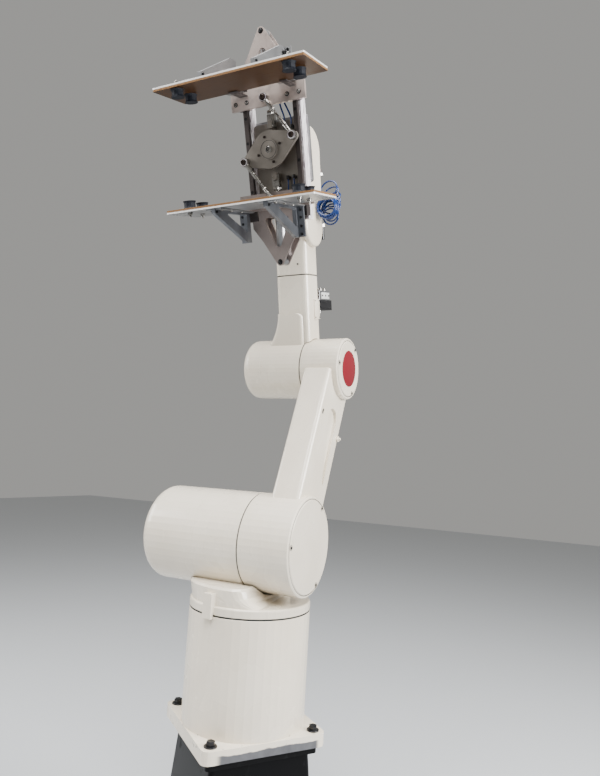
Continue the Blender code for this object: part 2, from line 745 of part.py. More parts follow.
def build_valves(folding):
    """A valve with its manifold on a plate behind the forearm."""
    low = WRIST_SEAM_HEIGHT - VALVE_BELOW_SEAM - VALVE_HEIGHT
    seat = FOREARM_HALF_DEPTH + SEAT_GAP
    top = low + VALVE_HEIGHT + SEAT_GAP + MANIFOLD_HEIGHT
    plate = box((VALVE_LEFT - VALVE_PLATE_MARGIN, seat, low - VALVE_PLATE_MARGIN),
                (VALVE_RIGHT, seat + VALVE_PLATE_THICKNESS, top + VALVE_PLATE_MARGIN))
    piece("valve_plate", plate, folding, dark_steel())
    front = seat + VALVE_PLATE_THICKNESS + SEAT_GAP
    valve = prism(rounded_rectangle(VALVE_LEFT, VALVE_RIGHT, front, front + VALVE_DEPTH, SEAM_ROUND), low,
                  low + VALVE_HEIGHT, "Z")
    piece("valve_block", valve, folding, dark_steel())
    manifold = prism(rounded_rectangle(VALVE_LEFT, VALVE_RIGHT, front, front + MANIFOLD_DEPTH, SEAM_ROUND),
                     low + VALVE_HEIGHT + SEAT_GAP, top, "Z")
    piece("valve_manifold", manifold, folding, bare_aluminium())


def forearm_outline(corner):
    return rounded_rectangle(-FOREARM_LEFT, FOREARM_RIGHT, -FOREARM_HALF_DEPTH, FOREARM_HALF_DEPTH, corner)


def inset_outline(inset):
    return rounded_rectangle(-FOREARM_LEFT + inset, FOREARM_RIGHT - inset, -FOREARM_HALF_DEPTH + inset,
                             FOREARM_HALF_DEPTH - inset, FOREARM_CORNER - inset)


def build_wrist_tube(rolling):
    """The part beyond the roll seam, in heights above that seam."""
    seam = BEARING_GAP / 2
    axis_rise = WRIST_AXIS_HEIGHT - WRIST_SEAM_HEIGHT
    top = axis_rise - TUBE_END_BELOW_BEND
    tube = loft([(inset_outline(SEAM_ROUND), seam),
                 (forearm_outline(FOREARM_CORNER), seam + SEAM_ROUND),
                 (forearm_outline(FOREARM_CORNER), top - SEAM_ROUND),
                 (inset_outline(SEAM_ROUND), top)], "Z")
    ear_foot = axis_rise - EAR_FOOT_BELOW_BEND
    ear_outline = ([(-FOREARM_HALF_DEPTH + FOREARM_CORNER, ear_foot), (FOREARM_HALF_DEPTH - FOREARM_CORNER, ear_foot)]
                   + arc((0.0, axis_rise), EAR_RADIUS, -20, 200, 20))
    ear = prism(ear_outline, FOREARM_RIGHT - EAR_THICKNESS, FOREARM_RIGHT, "X")
    piece("wrist_tube", tube, rolling, cream_paint(), add=[ear])

    inner = FOREARM_RIGHT + SEAT_GAP
    outer = inner + COVER_THICKNESS
    high = axis_rise + COVER_ABOVE_BEND
    low = axis_rise - COVER_BELOW_BEND
    sections = []
    for inset, level in ((0.0, inner), (0.0, outer - COVER_ROUND), (COVER_ROUND / 3, outer - COVER_ROUND / 3),
                         (COVER_ROUND, outer)):
        half = COVER_HALF_WIDTH - inset
        outline = arc((0.0, high - COVER_HALF_WIDTH), half, 0, 180, 12)
        outline += arc((0.0, low + COVER_HALF_WIDTH), half, 180, 360, 12)
        sections.append((outline, level))
    piece("wrist_side_cover", loft(sections, "X"), rolling, cream_paint())
    build_hose(rolling, axis_rise)


def build_hose(rolling, axis_rise):
    """A coiled air hose between two fittings on the rear edge of the side cover."""
    depth = COVER_HALF_WIDTH + SEAT_GAP + FITTING_RADIUS
    low = axis_rise - LOWER_FITTING_BELOW_BEND
    high = axis_rise - UPPER_FITTING_BELOW_BEND
    low_end = low + LOWER_FITTING_LENGTH
    for word, start, end in (("lower", low, low_end), ("upper", high - UPPER_FITTING_LENGTH, high)):
        piece(f"{word}_hose_fitting", rod(FITTING_RADIUS, start, end, "Z", (FITTING_SIDE, depth), PIN_SIDES), rolling,
              dark_steel())
    coil_height = axis_rise - HOSE_COIL_BELOW_BEND
    coil = torus(HOSE_COIL_RADIUS, HOSE_COIL_THICKNESS, PIN_SIDES, HOSE_SIDES)
    moved(coil, Matrix.Translation((HOSE_COIL_SIDE, HOSE_COIL_DEPTH, coil_height)))
    bottom = Vector((HOSE_COIL_SIDE, HOSE_COIL_DEPTH, coil_height - HOSE_COIL_RADIUS))
    top = Vector((HOSE_COIL_SIDE, HOSE_COIL_DEPTH, coil_height + HOSE_COIL_RADIUS))
    tubes = []
    for level, end, radius, side in ((low_end, bottom, HOSE_RADIUS, 1),
                                     (high - UPPER_FITTING_LENGTH, top, HOSE_SPIRAL_RADIUS, -1)):
        route = [Vector((FITTING_SIDE, depth, level + side * SEAT_GAP)),
                 Vector((FITTING_SIDE, depth, level + side * HOSE_STRAIGHT)),
                 Vector((HOSE_KNEE_SIDE, depth + HOSE_KNEE_BACKSET, level + side * HOSE_KNEE_RISE)), end]
        tubes += [straight_tube(first, second, radius, HOSE_SIDES) for first, second in zip(route, route[1:])]
    piece("spiral_hose", coil, rolling, blue_hose(), add=tubes)


def build_wrist_head(bending):
    right = FOREARM_RIGHT - EAR_THICKNESS - BEARING_GAP
    profile = ([(0.0, right), (HEAD_RADIUS, right)]
               + arc_on_drum(HEAD_RADIUS, -HEAD_LEFT, HEAD_ROUND, -1, CORNER_STEPS)
               + [(0.0, -HEAD_LEFT)])
    nose = turned([(0.0, -NOSE_REACH),
                   (NOSE_RADIUS - SEAM_ROUND, -NOSE_REACH),
                   (NOSE_RADIUS, -NOSE_REACH + SEAM_ROUND),
                   (NOSE_RADIUS, -NOSE_START),
                   (NOSE_NECK_RADIUS, -NOSE_START + SEAM_ROUND),
                   (NOSE_NECK_RADIUS, -NOSE_NECK_RADIUS / 2),
                   (0.0, -NOSE_NECK_RADIUS / 2)], "Y", (WRIST_AXIS_X, 0.0), PART_SIDES)
    piece("wrist_head", turned(profile, "X", sides=PART_SIDES), bending, cream_paint(), add=[nose])


def build_clamp_frame(spinning, clamp):
    """What turns with the last axis: flange, adaptor and the frame between the two guide rails."""
    flange = rod(FLANGE_RADIUS, -FLANGE_REACH, -NOSE_REACH - BEARING_GAP, "Y", (WRIST_AXIS_X, 0.0))
    piece("tool_flange", flange, spinning, bright_steel())

    back = BACK_PLATE_FRONT + BACK_PLATE_THICKNESS
    plate = prism(rounded_rectangle(-BACK_PLATE_HALF_WIDTH, BACK_PLATE_HALF_WIDTH, -BACK_PLATE_HALF_HEIGHT,
                                    BACK_PLATE_HALF_HEIGHT, PLATE_CORNER), BACK_PLATE_FRONT, back, "Y")
    flange_face = CRANK_REACH - FLANGE_REACH - SEAT_GAP
    spigot = rod(ADAPTOR_RADIUS, back - BACK_PLATE_THICKNESS / 2, flange_face, "Y",
                 (-CRANK_SIDE_OFFSET, CRANK_DROP))
    piece("adaptor_plate", plate, clamp, bare_aluminium(), add=[spigot])

    for side, word in ((-1, "left"), (1, "right")):
        inner = side * UPRIGHT_INNER
        outer = side * UPRIGHT_OUTER
        upright = box((min(inner, outer), UPRIGHT_FRONT, -RAIL_HALF_LENGTH),
                      (max(inner, outer), UPRIGHT_BACK, RAIL_HALF_LENGTH))
        piece(f"{word}_upright", upright, clamp, bright_steel())
        middle = side * RAIL_SIDE
        rail = box((middle - RAIL_WIDTH / 2, RAIL_FRONT, -RAIL_HALF_LENGTH),
                   (middle + RAIL_WIDTH / 2, RAIL_BACK, RAIL_HALF_LENGTH))
        piece(f"{word}_guide_rail", rail, clamp, dark_steel())

    reach = UPRIGHT_INNER - SEAT_GAP
    plate = prism(rounded_rectangle(-reach, reach, -CENTRE_PLATE_BOTTOM, CENTRE_PLATE_TOP, PLATE_CORNER),
                  CENTRE_PLATE_FRONT, CENTRE_PLATE_FRONT + CENTRE_PLATE_THICKNESS, "Y")
    inside = CENTRE_PLATE_FRONT + CENTRE_PLATE_THICKNESS / 2
    bearing = rod(BEARING_RADIUS, BEARING_FRONT, inside, "Y")
    lugs = [box((-LUG_HALF_WIDTH, LUG_FRONT, side * LUG_RISE - LUG_HALF_HEIGHT),
                (LUG_HALF_WIDTH, inside, side * LUG_RISE + LUG_HALF_HEIGHT)) for side in (-1, 1)]
    bore = rod(SHAFT_RADIUS + SEAT_GAP, BEARING_FRONT - CUT_OVERRUN, SHAFT_END + SEAT_GAP, "Y")
    piece("centre_plate", plate, clamp, grey_steel(), add=[bearing] + lugs, cut=[bore])

    for side, word in ((1, "upper"), (-1, "lower")):
        build_cylinder_rod(word, side, clamp)


def upright_box(side, low, high):
    """A box whose heights are mirrored below the crank when side is -1."""
    levels = sorted((side * low[2], side * high[2]))
    return box((low[0], low[1], levels[0]), (high[0], high[1], levels[1]))


def build_cylinder_rod(word, side, clamp):
    front = CYLINDER_DEPTH - FORK_HALF_DEPTH
    back = CYLINDER_DEPTH + FORK_HALF_DEPTH
    fork = upright_box(side, (-FORK_HALF_WIDTH, front, FORK_LOW), (FORK_HALF_WIDTH, back, FORK_HIGH))
    slot = upright_box(side, (-LUG_HALF_WIDTH - SEAT_GAP, front - CUT_OVERRUN, FORK_LOW - CUT_OVERRUN),
                       (LUG_HALF_WIDTH + SEAT_GAP, back + CUT_OVERRUN, LUG_RISE + LUG_HALF_HEIGHT + SEAT_GAP))
    levels = sorted((side * (FORK_HIGH - SEAM_ROUND), side * ROD_END))
    shaft = rod(ROD_RADIUS, levels[0], levels[1], "Z", (0.0, CYLINDER_DEPTH), PIN_SIDES)
    piece(f"{word}_cylinder_rod", fork, clamp, bright_steel(), add=[shaft], cut=[slot])


def build_jaw(word, side, jaw):
    """One jaw's carriage; side is 1 above the crank and -1 below it."""
    bar = upright_box(side, (-CROSSBAR_LEFT, 0.0, CROSSBAR_LOW), (CROSSBAR_RIGHT, CROSSBAR_THICKNESS, CROSSBAR_HIGH))
    pin = rod(LINK_PIN_RADIUS, -LINK_PIN_REACH, CROSSBAR_THICKNESS / 2, "Y", (0.0, side * LINK_PIN_RISE), PIN_SIDES)
    piece(f"{word}_crossbar", bar, jaw, bare_aluminium(), add=[pin])

    runner_front = CROSSBAR_THICKNESS + SEAT_GAP
    for hand, hand_word in ((-1, "left"), (1, "right")):
        middle = hand * RAIL_SIDE
        block = upright_box(side, (middle - RUNNER_HALF_WIDTH, runner_front, RUNNER_LOW),
                            (middle + RUNNER_HALF_WIDTH, RUNNER_BACK, RUNNER_HIGH))
        groove_half = RAIL_WIDTH / 2 + RUNNER_CLEARANCE
        groove = upright_box(side, (middle - groove_half, RAIL_FRONT - RUNNER_CLEARANCE, RUNNER_LOW - CUT_OVERRUN),
                             (middle + groove_half, RUNNER_BACK + CUT_OVERRUN, RUNNER_HIGH + CUT_OVERRUN))
        piece(f"{word}_{hand_word}_runner", block, jaw, dark_steel(), cut=[groove])

    build_webs(word, side, jaw)
    build_cylinder(word, side, jaw)

    face = side * JAW_FACE
    outer = side * (JAW_FACE + JAW_THICKNESS)
    plate = prism(rounded_rectangle(-JAW_LEFT, JAW_RIGHT, -JAW_FAR, -JAW_NEAR, JAW_CORNER), min(face, outer),
                  max(face, outer), "Z")
    piece(f"{word}_jaw_plate", plate, jaw, plywood())
    build_brackets(word, side, jaw)
    build_buffers(word, side, jaw)


def web_outline(half_width, low):
    """The triangle between the crossbar and the cylinder's end, and the window in it."""
    tip_arc = arc((0.0, WEB_TIP_RISE), WEB_TIP_RADIUS, 20, 160, 8)
    outline = [(half_width, low), (half_width, WEB_SHOULDER), (WEB_NECK_SIDE, WEB_NECK_RISE)]
    outline += tip_arc + [(-WEB_NECK_SIDE, WEB_NECK_RISE), (-half_width, WEB_SHOULDER), (-half_width, low)]
    hole = rounded_polygon([(WEB_HOLE_HALF_WIDTH, WEB_HOLE_LOW), (0.0, WEB_HOLE_TOP),
                            (-WEB_HOLE_HALF_WIDTH, WEB_HOLE_LOW)], [WEB_HOLE_ROUND, WEB_HOLE_ARCH, WEB_HOLE_ROUND])
    return outline, hole


def on_side(outline, side):
    """An outline above the crank, or its mirror image below it."""
    return outline if side > 0 else mirrored(outline)


def build_webs(word, side, jaw):
    tip_hole_radius = TIP_PIN_RADIUS + SEAT_GAP
    tip = (0.0, side * WEB_TIP_RISE)
    front_face = CROSSBAR_THICKNESS + SEAT_GAP
    front_back = front_face + WEB_THICKNESS
    rear_back = REAR_WEB_FRONT + WEB_THICKNESS
    above_runners = RUNNER_HIGH + SEAT_GAP
    outline, hole = web_outline(WEB_HALF_WIDTH, above_runners)
    outline = [(WEB_FOOT_HALF_WIDTH, above_runners)] + outline
    outline += [(-WEB_FOOT_HALF_WIDTH, above_runners), (-WEB_FOOT_HALF_WIDTH, WEB_FOOT), (WEB_FOOT_HALF_WIDTH, WEB_FOOT)]
    front = prism(on_side(outline, side), front_face, front_back, "Y")
    opening = prism(on_side(hole, side), front_face - CUT_OVERRUN, front_back + CUT_OVERRUN, "Y")
    drilled = rod(tip_hole_radius, front_face - CUT_OVERRUN, front_back + CUT_OVERRUN, "Y", tip, PIN_SIDES)
    piece(f"{word}_front_web", front, jaw, grey_steel(), cut=[opening, drilled])

    outline, hole = web_outline(REAR_WEB_HALF_WIDTH, REAR_WEB_LOW)
    rear = prism(on_side(outline, side), REAR_WEB_FRONT, rear_back, "Y")
    spacers = [upright_box(side, (min(hand * SPACER_INNER, hand * SPACER_OUTER), front_back + SEAT_GAP, SPACER_LOW),
                           (max(hand * SPACER_INNER, hand * SPACER_OUTER), REAR_WEB_FRONT + WEB_THICKNESS / 2,
                            SPACER_HIGH)) for hand in (-1, 1)]
    opening = prism(on_side(hole, side), REAR_WEB_FRONT - WEB_THICKNESS, rear_back + CUT_OVERRUN, "Y")
    drilled = rod(tip_hole_radius, REAR_WEB_FRONT - CUT_OVERRUN, rear_back + CUT_OVERRUN, "Y", tip, PIN_SIDES)
    piece(f"{word}_rear_web", rear, jaw, grey_steel(), add=spacers, cut=[opening, drilled])


def build_cylinder(word, side, jaw):
    axis_place = (0.0, CYLINDER_DEPTH)
    levels = sorted((side * CYLINDER_LOW, side * CYLINDER_HIGH))
    barrel = rod(CYLINDER_RADIUS, levels[0], levels[1], "Z", axis_place)
    web_front = CROSSBAR_THICKNESS + SEAT_GAP
    web_inside = web_front + WEB_THICKNESS + SEAT_GAP
    tip = (0.0, side * WEB_TIP_RISE)
    eye = rod(CYLINDER_EYE_RADIUS, web_inside, REAR_WEB_FRONT - SEAT_GAP, "Y", tip, PIN_SIDES)
    neck = upright_box(side, (-CYLINDER_EYE_RADIUS / 2, web_inside + SEAM_ROUND, CYLINDER_HIGH - SEAM_ROUND),
                       (CYLINDER_EYE_RADIUS / 2, REAR_WEB_FRONT - SEAM_ROUND, WEB_TIP_RISE))
    pin = rod(TIP_PIN_RADIUS, web_front, REAR_WEB_FRONT + WEB_THICKNESS, "Y", tip, PIN_SIDES)
    bore_levels = sorted((side * (CYLINDER_LOW - CUT_OVERRUN), side * CYLINDER_BORE_END))
    bore = rod(ROD_RADIUS + RUNNER_CLEARANCE, bore_levels[0], bore_levels[1], "Z", axis_place, PIN_SIDES)
    piece(f"{word}_cylinder", barrel, jaw, bare_aluminium(), add=[neck, eye, pin], cut=[bore])


def build_brackets(word, side, jaw):
    """Open triangular brackets that carry the wooden plate, on the side away from the crank."""
    seat = JAW_FACE + JAW_THICKNESS + SEAT_GAP
    high = seat + BRACKET_DROP
    rear = -SEAT_GAP
    outline = [(rear, seat), (rear, high), (rear - BRACKET_FOOT, high),
               (-BRACKET_REACH, seat + BRACKET_TIP), (-BRACKET_REACH, seat)]
    hole = rounded_polygon([(rear - BRACKET_BAR, seat + BRACKET_BAR / 2),
                            (rear - BRACKET_BAR, high - BRACKET_FOOT),
                            (rear - BRACKET_REACH + 2 * BRACKET_FOOT, seat + BRACKET_BAR / 2)], [SEAM_ROUND] * 3)
    flange_outline = [(rear, seat), (rear, high), (rear - BRACKET_FLANGE_THICKNESS, high),
                      (rear - BRACKET_FLANGE_THICKNESS, seat)]
    for hand, hand_word, inner in zip((-1, 1), ("left", "right"), BRACKET_INNERS):
        outer = inner + BRACKET_THICKNESS
        ends = sorted((hand * inner, hand * outer))
        flange_ends = sorted((hand * (inner + BRACKET_THICKNESS / 2), hand * (outer + BRACKET_FLANGE)))
        opening = prism(on_side(hole, side), ends[0] - CUT_OVERRUN, ends[1] + CUT_OVERRUN, "X")
        flange = prism(on_side(flange_outline, side), flange_ends[0], flange_ends[1], "X")
        piece(f"{word}_{hand_word}_bracket", prism(on_side(outline, side), ends[0], ends[1], "X"), jaw,
              bare_aluminium(), add=[flange], cut=[opening])


def build_buffers(word, side, jaw):
    """Rubber buffers on the wooden plate's gripping face, with a slight waist."""
    face = side * (JAW_FACE - SEAT_GAP)
    tip = face - side * BUFFER_HEIGHT
    waist = BUFFER_RADIUS - BUFFER_WAIST
    for across, hand_word in zip(BUFFER_SIDES, ("left", "right")):
        for depth, row_word in zip(BUFFER_DEPTHS, ("front", "rear")):
            levels = [face, face, face - side * BUFFER_HEIGHT / 4, tip + side * BUFFER_HEIGHT / 4, tip, tip]
            radii = [0.0, BUFFER_RADIUS, waist, waist, BUFFER_RADIUS, 0.0]
            buffer = turned(list(zip(radii, levels)), "Z", (across, depth), PIN_SIDES)
            piece(f"{word}_{row_word}_{hand_word}_buffer", buffer, jaw, rubber())


def build_crank(cranking):
    eyes = [(CRANK_EYE_SIDE, CRANK_EYE_RISE), (-CRANK_EYE_SIDE, -CRANK_EYE_RISE)]
    arms = [prism(stretched_round((0.0, 0.0), CRANK_DISC_RADIUS, eye, CRANK_EYE_RADIUS, 16), 0.0, CRANK_THICKNESS, "Y")
            for eye in eyes]
    hub_disc = rod(CRANK_HUB_RADIUS, -CRANK_HUB_PROUD, CRANK_THICKNESS / 2, "Y")
    shaft = rod(SHAFT_RADIUS, CRANK_THICKNESS / 2, SHAFT_END, "Y")
    pins = [rod(LINK_PIN_RADIUS, -LINK_PIN_REACH, CRANK_THICKNESS / 2, "Y", eye, PIN_SIDES) for eye in eyes]
    piece("crank", arms[0], cranking, grey_steel(), add=[arms[1], hub_disc, shaft] + pins)


def build_link(word, side, linking):
    """A rod with an eye at each end, from the crank's eye to the crossbar's pin."""
    start = Vector((side * CRANK_EYE_SIDE, side * CRANK_EYE_RISE))
    end = Vector((0.0, side * LINK_PIN_RISE))
    run = end - start
    front = -SEAT_GAP - LINK_THICKNESS
    back = -SEAT_GAP
    middle = (front + back) / 2
    heading = math.atan2(run.x, run.y)
    near_eye = rod(LINK_EYE_RADIUS, front, back, "Y", (0.0, 0.0))
    far_eye = rod(LINK_EYE_RADIUS, front, back, "Y", (0.0, run.length))
    bar = rod(LINK_BAR_RADIUS, LINK_EYE_RADIUS / 2, run.length - LINK_EYE_RADIUS / 2, "Z", (0.0, middle), PIN_SIDES)
    sleeve_low = LINK_EYE_RADIUS + LINK_NUT_LENGTH
    sleeve_high = sleeve_low + LINK_SLEEVE_LENGTH
    sleeve = rod(LINK_SLEEVE_RADIUS, sleeve_low, sleeve_high, "Z", (0.0, middle), PIN_SIDES)
    nut_low = sleeve_high - LINK_NUT_LENGTH / 2
    nut = rod(LINK_NUT_RADIUS, nut_low, nut_low + LINK_NUT_LENGTH, "Z", (0.0, middle), 6)
    bore = rod(LINK_BORE_RADIUS, front - CUT_OVERRUN, back + CUT_OVERRUN, "Y", (0.0, 0.0), PIN_SIDES)
    loose_bore = rod(LINK_LOOSE_BORE_RADIUS, front - CUT_OVERRUN, back + CUT_OVERRUN, "Y", (0.0, run.length), PIN_SIDES)
    parts = [near_eye, far_eye, bar, sleeve, nut, bore, loose_bore]
    for part in parts:
        moved(part, Matrix.Rotation(heading, 4, "Y"))
    piece(f"{word}_link", near_eye, linking, bright_steel(), add=[bar, far_eye, sleeve, nut], cut=[bore, loose_bore])


def main():
    clear_scene()
    floor = axis_empty("floor_under_turn_axis", None, (0.0, 0.0, 0.0), turn=BASE_TURN)
    turning = axis_empty("turn_axis", None, (0.0, 0.0, PEDESTAL_HEIGHT + TURN_SEAM_HEIGHT))
    swinging = axis_empty("shoulder_axis", turning, (0.0, 0.0, SHOULDER_HEIGHT - TURN_SEAM_HEIGHT),
                          lean=UPPER_ARM_LEAN)
    folding = axis_empty("elbow_axis", swinging, (0.0, 0.0, UPPER_ARM_LENGTH), lean=FOREARM_LEAN - UPPER_ARM_LEAN)
    rolling = axis_empty("wrist_roll_axis", folding, (0.0, 0.0, WRIST_SEAM_HEIGHT))
    bending = axis_empty("wrist_bend_axis", rolling, (0.0, 0.0, WRIST_AXIS_HEIGHT - WRIST_SEAM_HEIGHT),
                         lean=WRIST_LEAN - FOREARM_LEAN)
    spinning = axis_empty("tool_spin_axis", bending, (0.0, 0.0, 0.0))
    clamp_place = (WRIST_AXIS_X + CRANK_SIDE_OFFSET, -CRANK_REACH, -CRANK_DROP)
    clamp = axis_empty("crank_axis", spinning, clamp_place)
    upper_jaw = axis_empty("upper_jaw_slide", clamp, (0.0, 0.0, 0.0))
    lower_jaw = axis_empty("lower_jaw_slide", clamp, (0.0, 0.0, 0.0))
    upper_eye = axis_empty("upper_link_axis", clamp, (CRANK_EYE_SIDE, 0.0, CRANK_EYE_RISE))
    lower_eye = axis_empty("lower_link_axis", clamp, (-CRANK_EYE_SIDE, 0.0, -CRANK_EYE_RISE))

    build_pedestal(floor)
    build_base(floor)
    build_shoulder(turning)
    build_upper_arm(swinging)
    build_forearm(folding)
    build_wrist_tube(rolling)
    build_wrist_head(bending)
    build_clamp_frame(spinning, clamp)
    build_jaw("upper", 1, upper_jaw)
    build_jaw("lower", -1, lower_jaw)
    build_crank(clamp)
    build_link("upper", 1, upper_eye)
    build_link("lower", -1, lower_eye)


main()
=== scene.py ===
import json
import math

import bmesh
import bpy
from mathutils import Matrix, Vector


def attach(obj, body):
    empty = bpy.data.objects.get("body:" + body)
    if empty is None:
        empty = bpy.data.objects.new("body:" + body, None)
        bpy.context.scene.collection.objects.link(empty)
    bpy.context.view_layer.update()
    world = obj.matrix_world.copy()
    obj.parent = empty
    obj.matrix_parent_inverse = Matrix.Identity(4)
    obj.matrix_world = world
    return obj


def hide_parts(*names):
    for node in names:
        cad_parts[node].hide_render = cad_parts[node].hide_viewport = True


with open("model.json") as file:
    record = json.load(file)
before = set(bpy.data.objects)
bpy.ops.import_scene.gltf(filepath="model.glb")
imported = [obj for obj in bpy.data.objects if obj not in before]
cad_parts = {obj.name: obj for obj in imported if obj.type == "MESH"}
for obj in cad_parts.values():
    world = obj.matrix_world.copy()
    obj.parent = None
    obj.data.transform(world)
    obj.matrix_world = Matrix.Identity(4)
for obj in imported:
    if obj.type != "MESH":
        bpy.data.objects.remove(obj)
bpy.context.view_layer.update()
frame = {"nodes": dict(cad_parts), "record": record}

# Camera at the photo's angle
CAMERA_PLACE = Vector((0.931, -1.703, 1.297))
CAMERA_YAW = 0.4421
CAMERA_PITCH = 0.1193
CAMERA_ROLL = 0.0585
CAMERA_LENS = 28.53

# Floor and room light
FLOOR_HALF_WIDTH = 12
ROOM_COLOUR = (0.84, 0.83, 0.80, 1.0)
ROOM_LIGHT = 0.42

# Joint centres and leans, as in the frame at rest
PEDESTAL_TOP = 0.500
BASE_TURN = math.radians(52.0)
BASE_BOLT_HALF = 0.1539
BASE_PLATE_TOP = 0.5354
BASE_BOLT_LIFT = 0.0003
TURN_SEAM = 0.8565
COLUMN_RADIUS = 0.1822
SHOULDER = Vector((0.0, 0.0, 1.05))
SHOULDER_RADIUS = 0.1466
UPPER_ARM_LEAN = math.radians(-23.6)
ELBOW = Vector((0.0, 0.25022, 1.62273))
ELBOW_RADIUS = 0.1048
FOREARM_LEAN = math.radians(13.8)
CRANK = Vector((0.0454, -0.15228, 2.23808))
CLAMP_LEAN = math.radians(18.9)

# Screw heads: radius and height
CAP_SCREW = (0.0042, 0.0022)
SLOT_SCREW = (0.0036, 0.0016)
COVER_SCREW = (0.0024, 0.0012)
FRONT_SCREW = (0.0030, 0.0016)
VALVE_SCREW = (0.0034, 0.0018)
FLANGE_SCREW = (0.0042, 0.0030)
BRACKET_SCREW = (0.0040, 0.0030)
FOOT_SCREW = (0.0045, 0.0030)
# The base's hexagon bolts: head, height and washer
BASE_BOLT = (0.0125, 0.015, 0.018)
# Pin bolts: the socket's floor, the top, the rim and the flange's radius
CRANK_PIN_BOLT = (0.0050, 0.0068, 0.0010, 0.0092)
LINK_PIN_BOLT = (0.0052, 0.0070, 0.0012, 0.0105)

# Turned shapes: radius and level, from the middle outwards and down to the foot
DISC_SHAPE = ((0.0, 0.0016), (0.0600, 0.0016), (0.0615, 0.0012), (0.0620, 0.0))
BOSS_SHAPE = ((0.0, 0.0135), (0.0040, 0.0135), (0.0046, 0.0125), (0.0046, 0.0080), (0.0085, 0.0074),
              (0.0095, 0.0064), (0.0095, 0.0))
VALVE_FITTING_SHAPE = ((0.0, 0.012), (0.0032, 0.012), (0.0044, 0.011), (0.0044, 0.005),
                       (0.0058, 0.0048), (0.0058, 0.0))
HUB_BOLT_SHAPE = ((0.0, 0.0075), (0.0036, 0.0075), (0.0040, 0.0105), (0.0070, 0.0105), (0.0080, 0.0095),
                  (0.0080, 0.0062), (0.0110, 0.0060), (0.0110, 0.0045))
WEB_BOLT_SHAPE = ((0.0, 0.0035), (0.0042, 0.0035), (0.0055, 0.0028), (0.0055, 0.0), (0.0085, 0.0))
KNOB_SHAPE = ((0.0, 0.0045), (0.0036, 0.0045), (0.0042, 0.0070), (0.0078, 0.0070), (0.0086, 0.0060),
              (0.0086, 0.0))
PORT_SHAPE = ((0.0, 0.0060), (0.0040, 0.0060), (0.0046, 0.0052), (0.0046, 0.0030), (0.0062, 0.0028),
              (0.0062, 0.0))
FORK_BOLT_SHAPE = ((0.0, 0.0020), (0.0030, 0.0020), (0.0034, 0.0046), (0.0058, 0.0046), (0.0064, 0.0038),
                   (0.0064, 0.0008), (0.0080, 0.0007), (0.0080, 0.0))
BUFFER_BOLT_SHAPE = ((0.0, 0.0140), (0.0024, 0.0140), (0.0030, 0.0132), (0.0030, 0.0062),
                     (0.0062, 0.0062), (0.0064, 0.0016), (0.0085, 0.0014), (0.0085, 0.0))
RAIL_HOLE_SHAPE = ((0.0, 0.0002), (0.0046, 0.0002), (0.0048, 0.0))
# Turned shapes closed at both ends: radius and level, from the foot up
ELBOW_SHAPE = ((0.0, 0.0), (0.0052, 0.0), (0.0052, 0.0100), (0.0044, 0.0112), (0.0, 0.0112))
ELBOW_NUT_SHAPE = ((0.0, 0.0), (0.0062, 0.0), (0.0062, 0.0040), (0.0050, 0.0044), (0.0050, 0.0100),
                   (0.0, 0.0100))
HOSE_TIP_SHAPE = ((0.0, 0.0), (0.0042, 0.0), (0.0042, 0.0070), (0.0034, 0.0080), (0.0, 0.0080))
SHANK_SHAPE = ((0.0, 0.0125), (0.0062, 0.0125), (0.0062, 0.0400), (0.0058, 0.0412), (0.0, 0.0412))
SHANK_NUT_SHAPE = ((0.0, 0.0414), (0.0064, 0.0414), (0.0069, 0.0420), (0.0069, 0.0468), (0.0064, 0.0474),
                   (0.0, 0.0474))

# Flat rings: inner and outer radius, low and high level
NOTCH_SHADE_RING = (0.0068, 0.0078, 0.0, 0.0003)
HUB_LINE_RING = (0.0255, 0.0267, 0.0042, 0.0049)
HUB_BOLT_RING = (0.0040, 0.0069, 0.0100, 0.0106)
CROSSBAR_RING = (0.0040, 0.0068, 0.0, 0.0006)
ROD_END_RING = (0.0093, 0.0118, 0.0152, 0.0160)

# Seals in the joints' grooves: how far under the surface and how wide
TURN_SEAL = (0.0006, 0.0034)
SHOULDER_SEAL = (0.0012, 0.0022)
ELBOW_SEAL = (0.0012, 0.0020)
SHOULDER_SEAL_SIDE = 0.0222
ELBOW_SEAL_SIDE = 0.0470
SEAL_DEPTH = 0.004

# End caps: the face's place across, the cap's radius and its screws' ring; then the dark line's place
SHOULDER_CAP = (0.1884, 0.1386, 0.1310)
ELBOW_CAP = (0.1873, 0.0958, 0.0890)
CAP_SCREW_ANGLES = (-130.6, -10.6, 109.4)
CAP_LINE_INNER = 0.0001
CAP_LINE_OUTER = 0.0013
CAP_LINE_FOOT = 0.0060
CAP_LINE_TOP = 0.0021
RED_DISC_SIDE = 0.1874

# Places on the upper arm, from the shoulder's centre: across, back and up
SLOT_OUTLINE = (-0.0045, 0.0045, -0.009, 0.009, 0.0044)
SLOT_THICKNESS = 0.0003
SLOT_PLACE = (0.166, -0.0787, 0.4148)
SLOT_SCREW_PLACE = (0.1662, -0.0787, 0.4200)
BOSS_PLACE = (0.1655, 0.0740, 0.392)

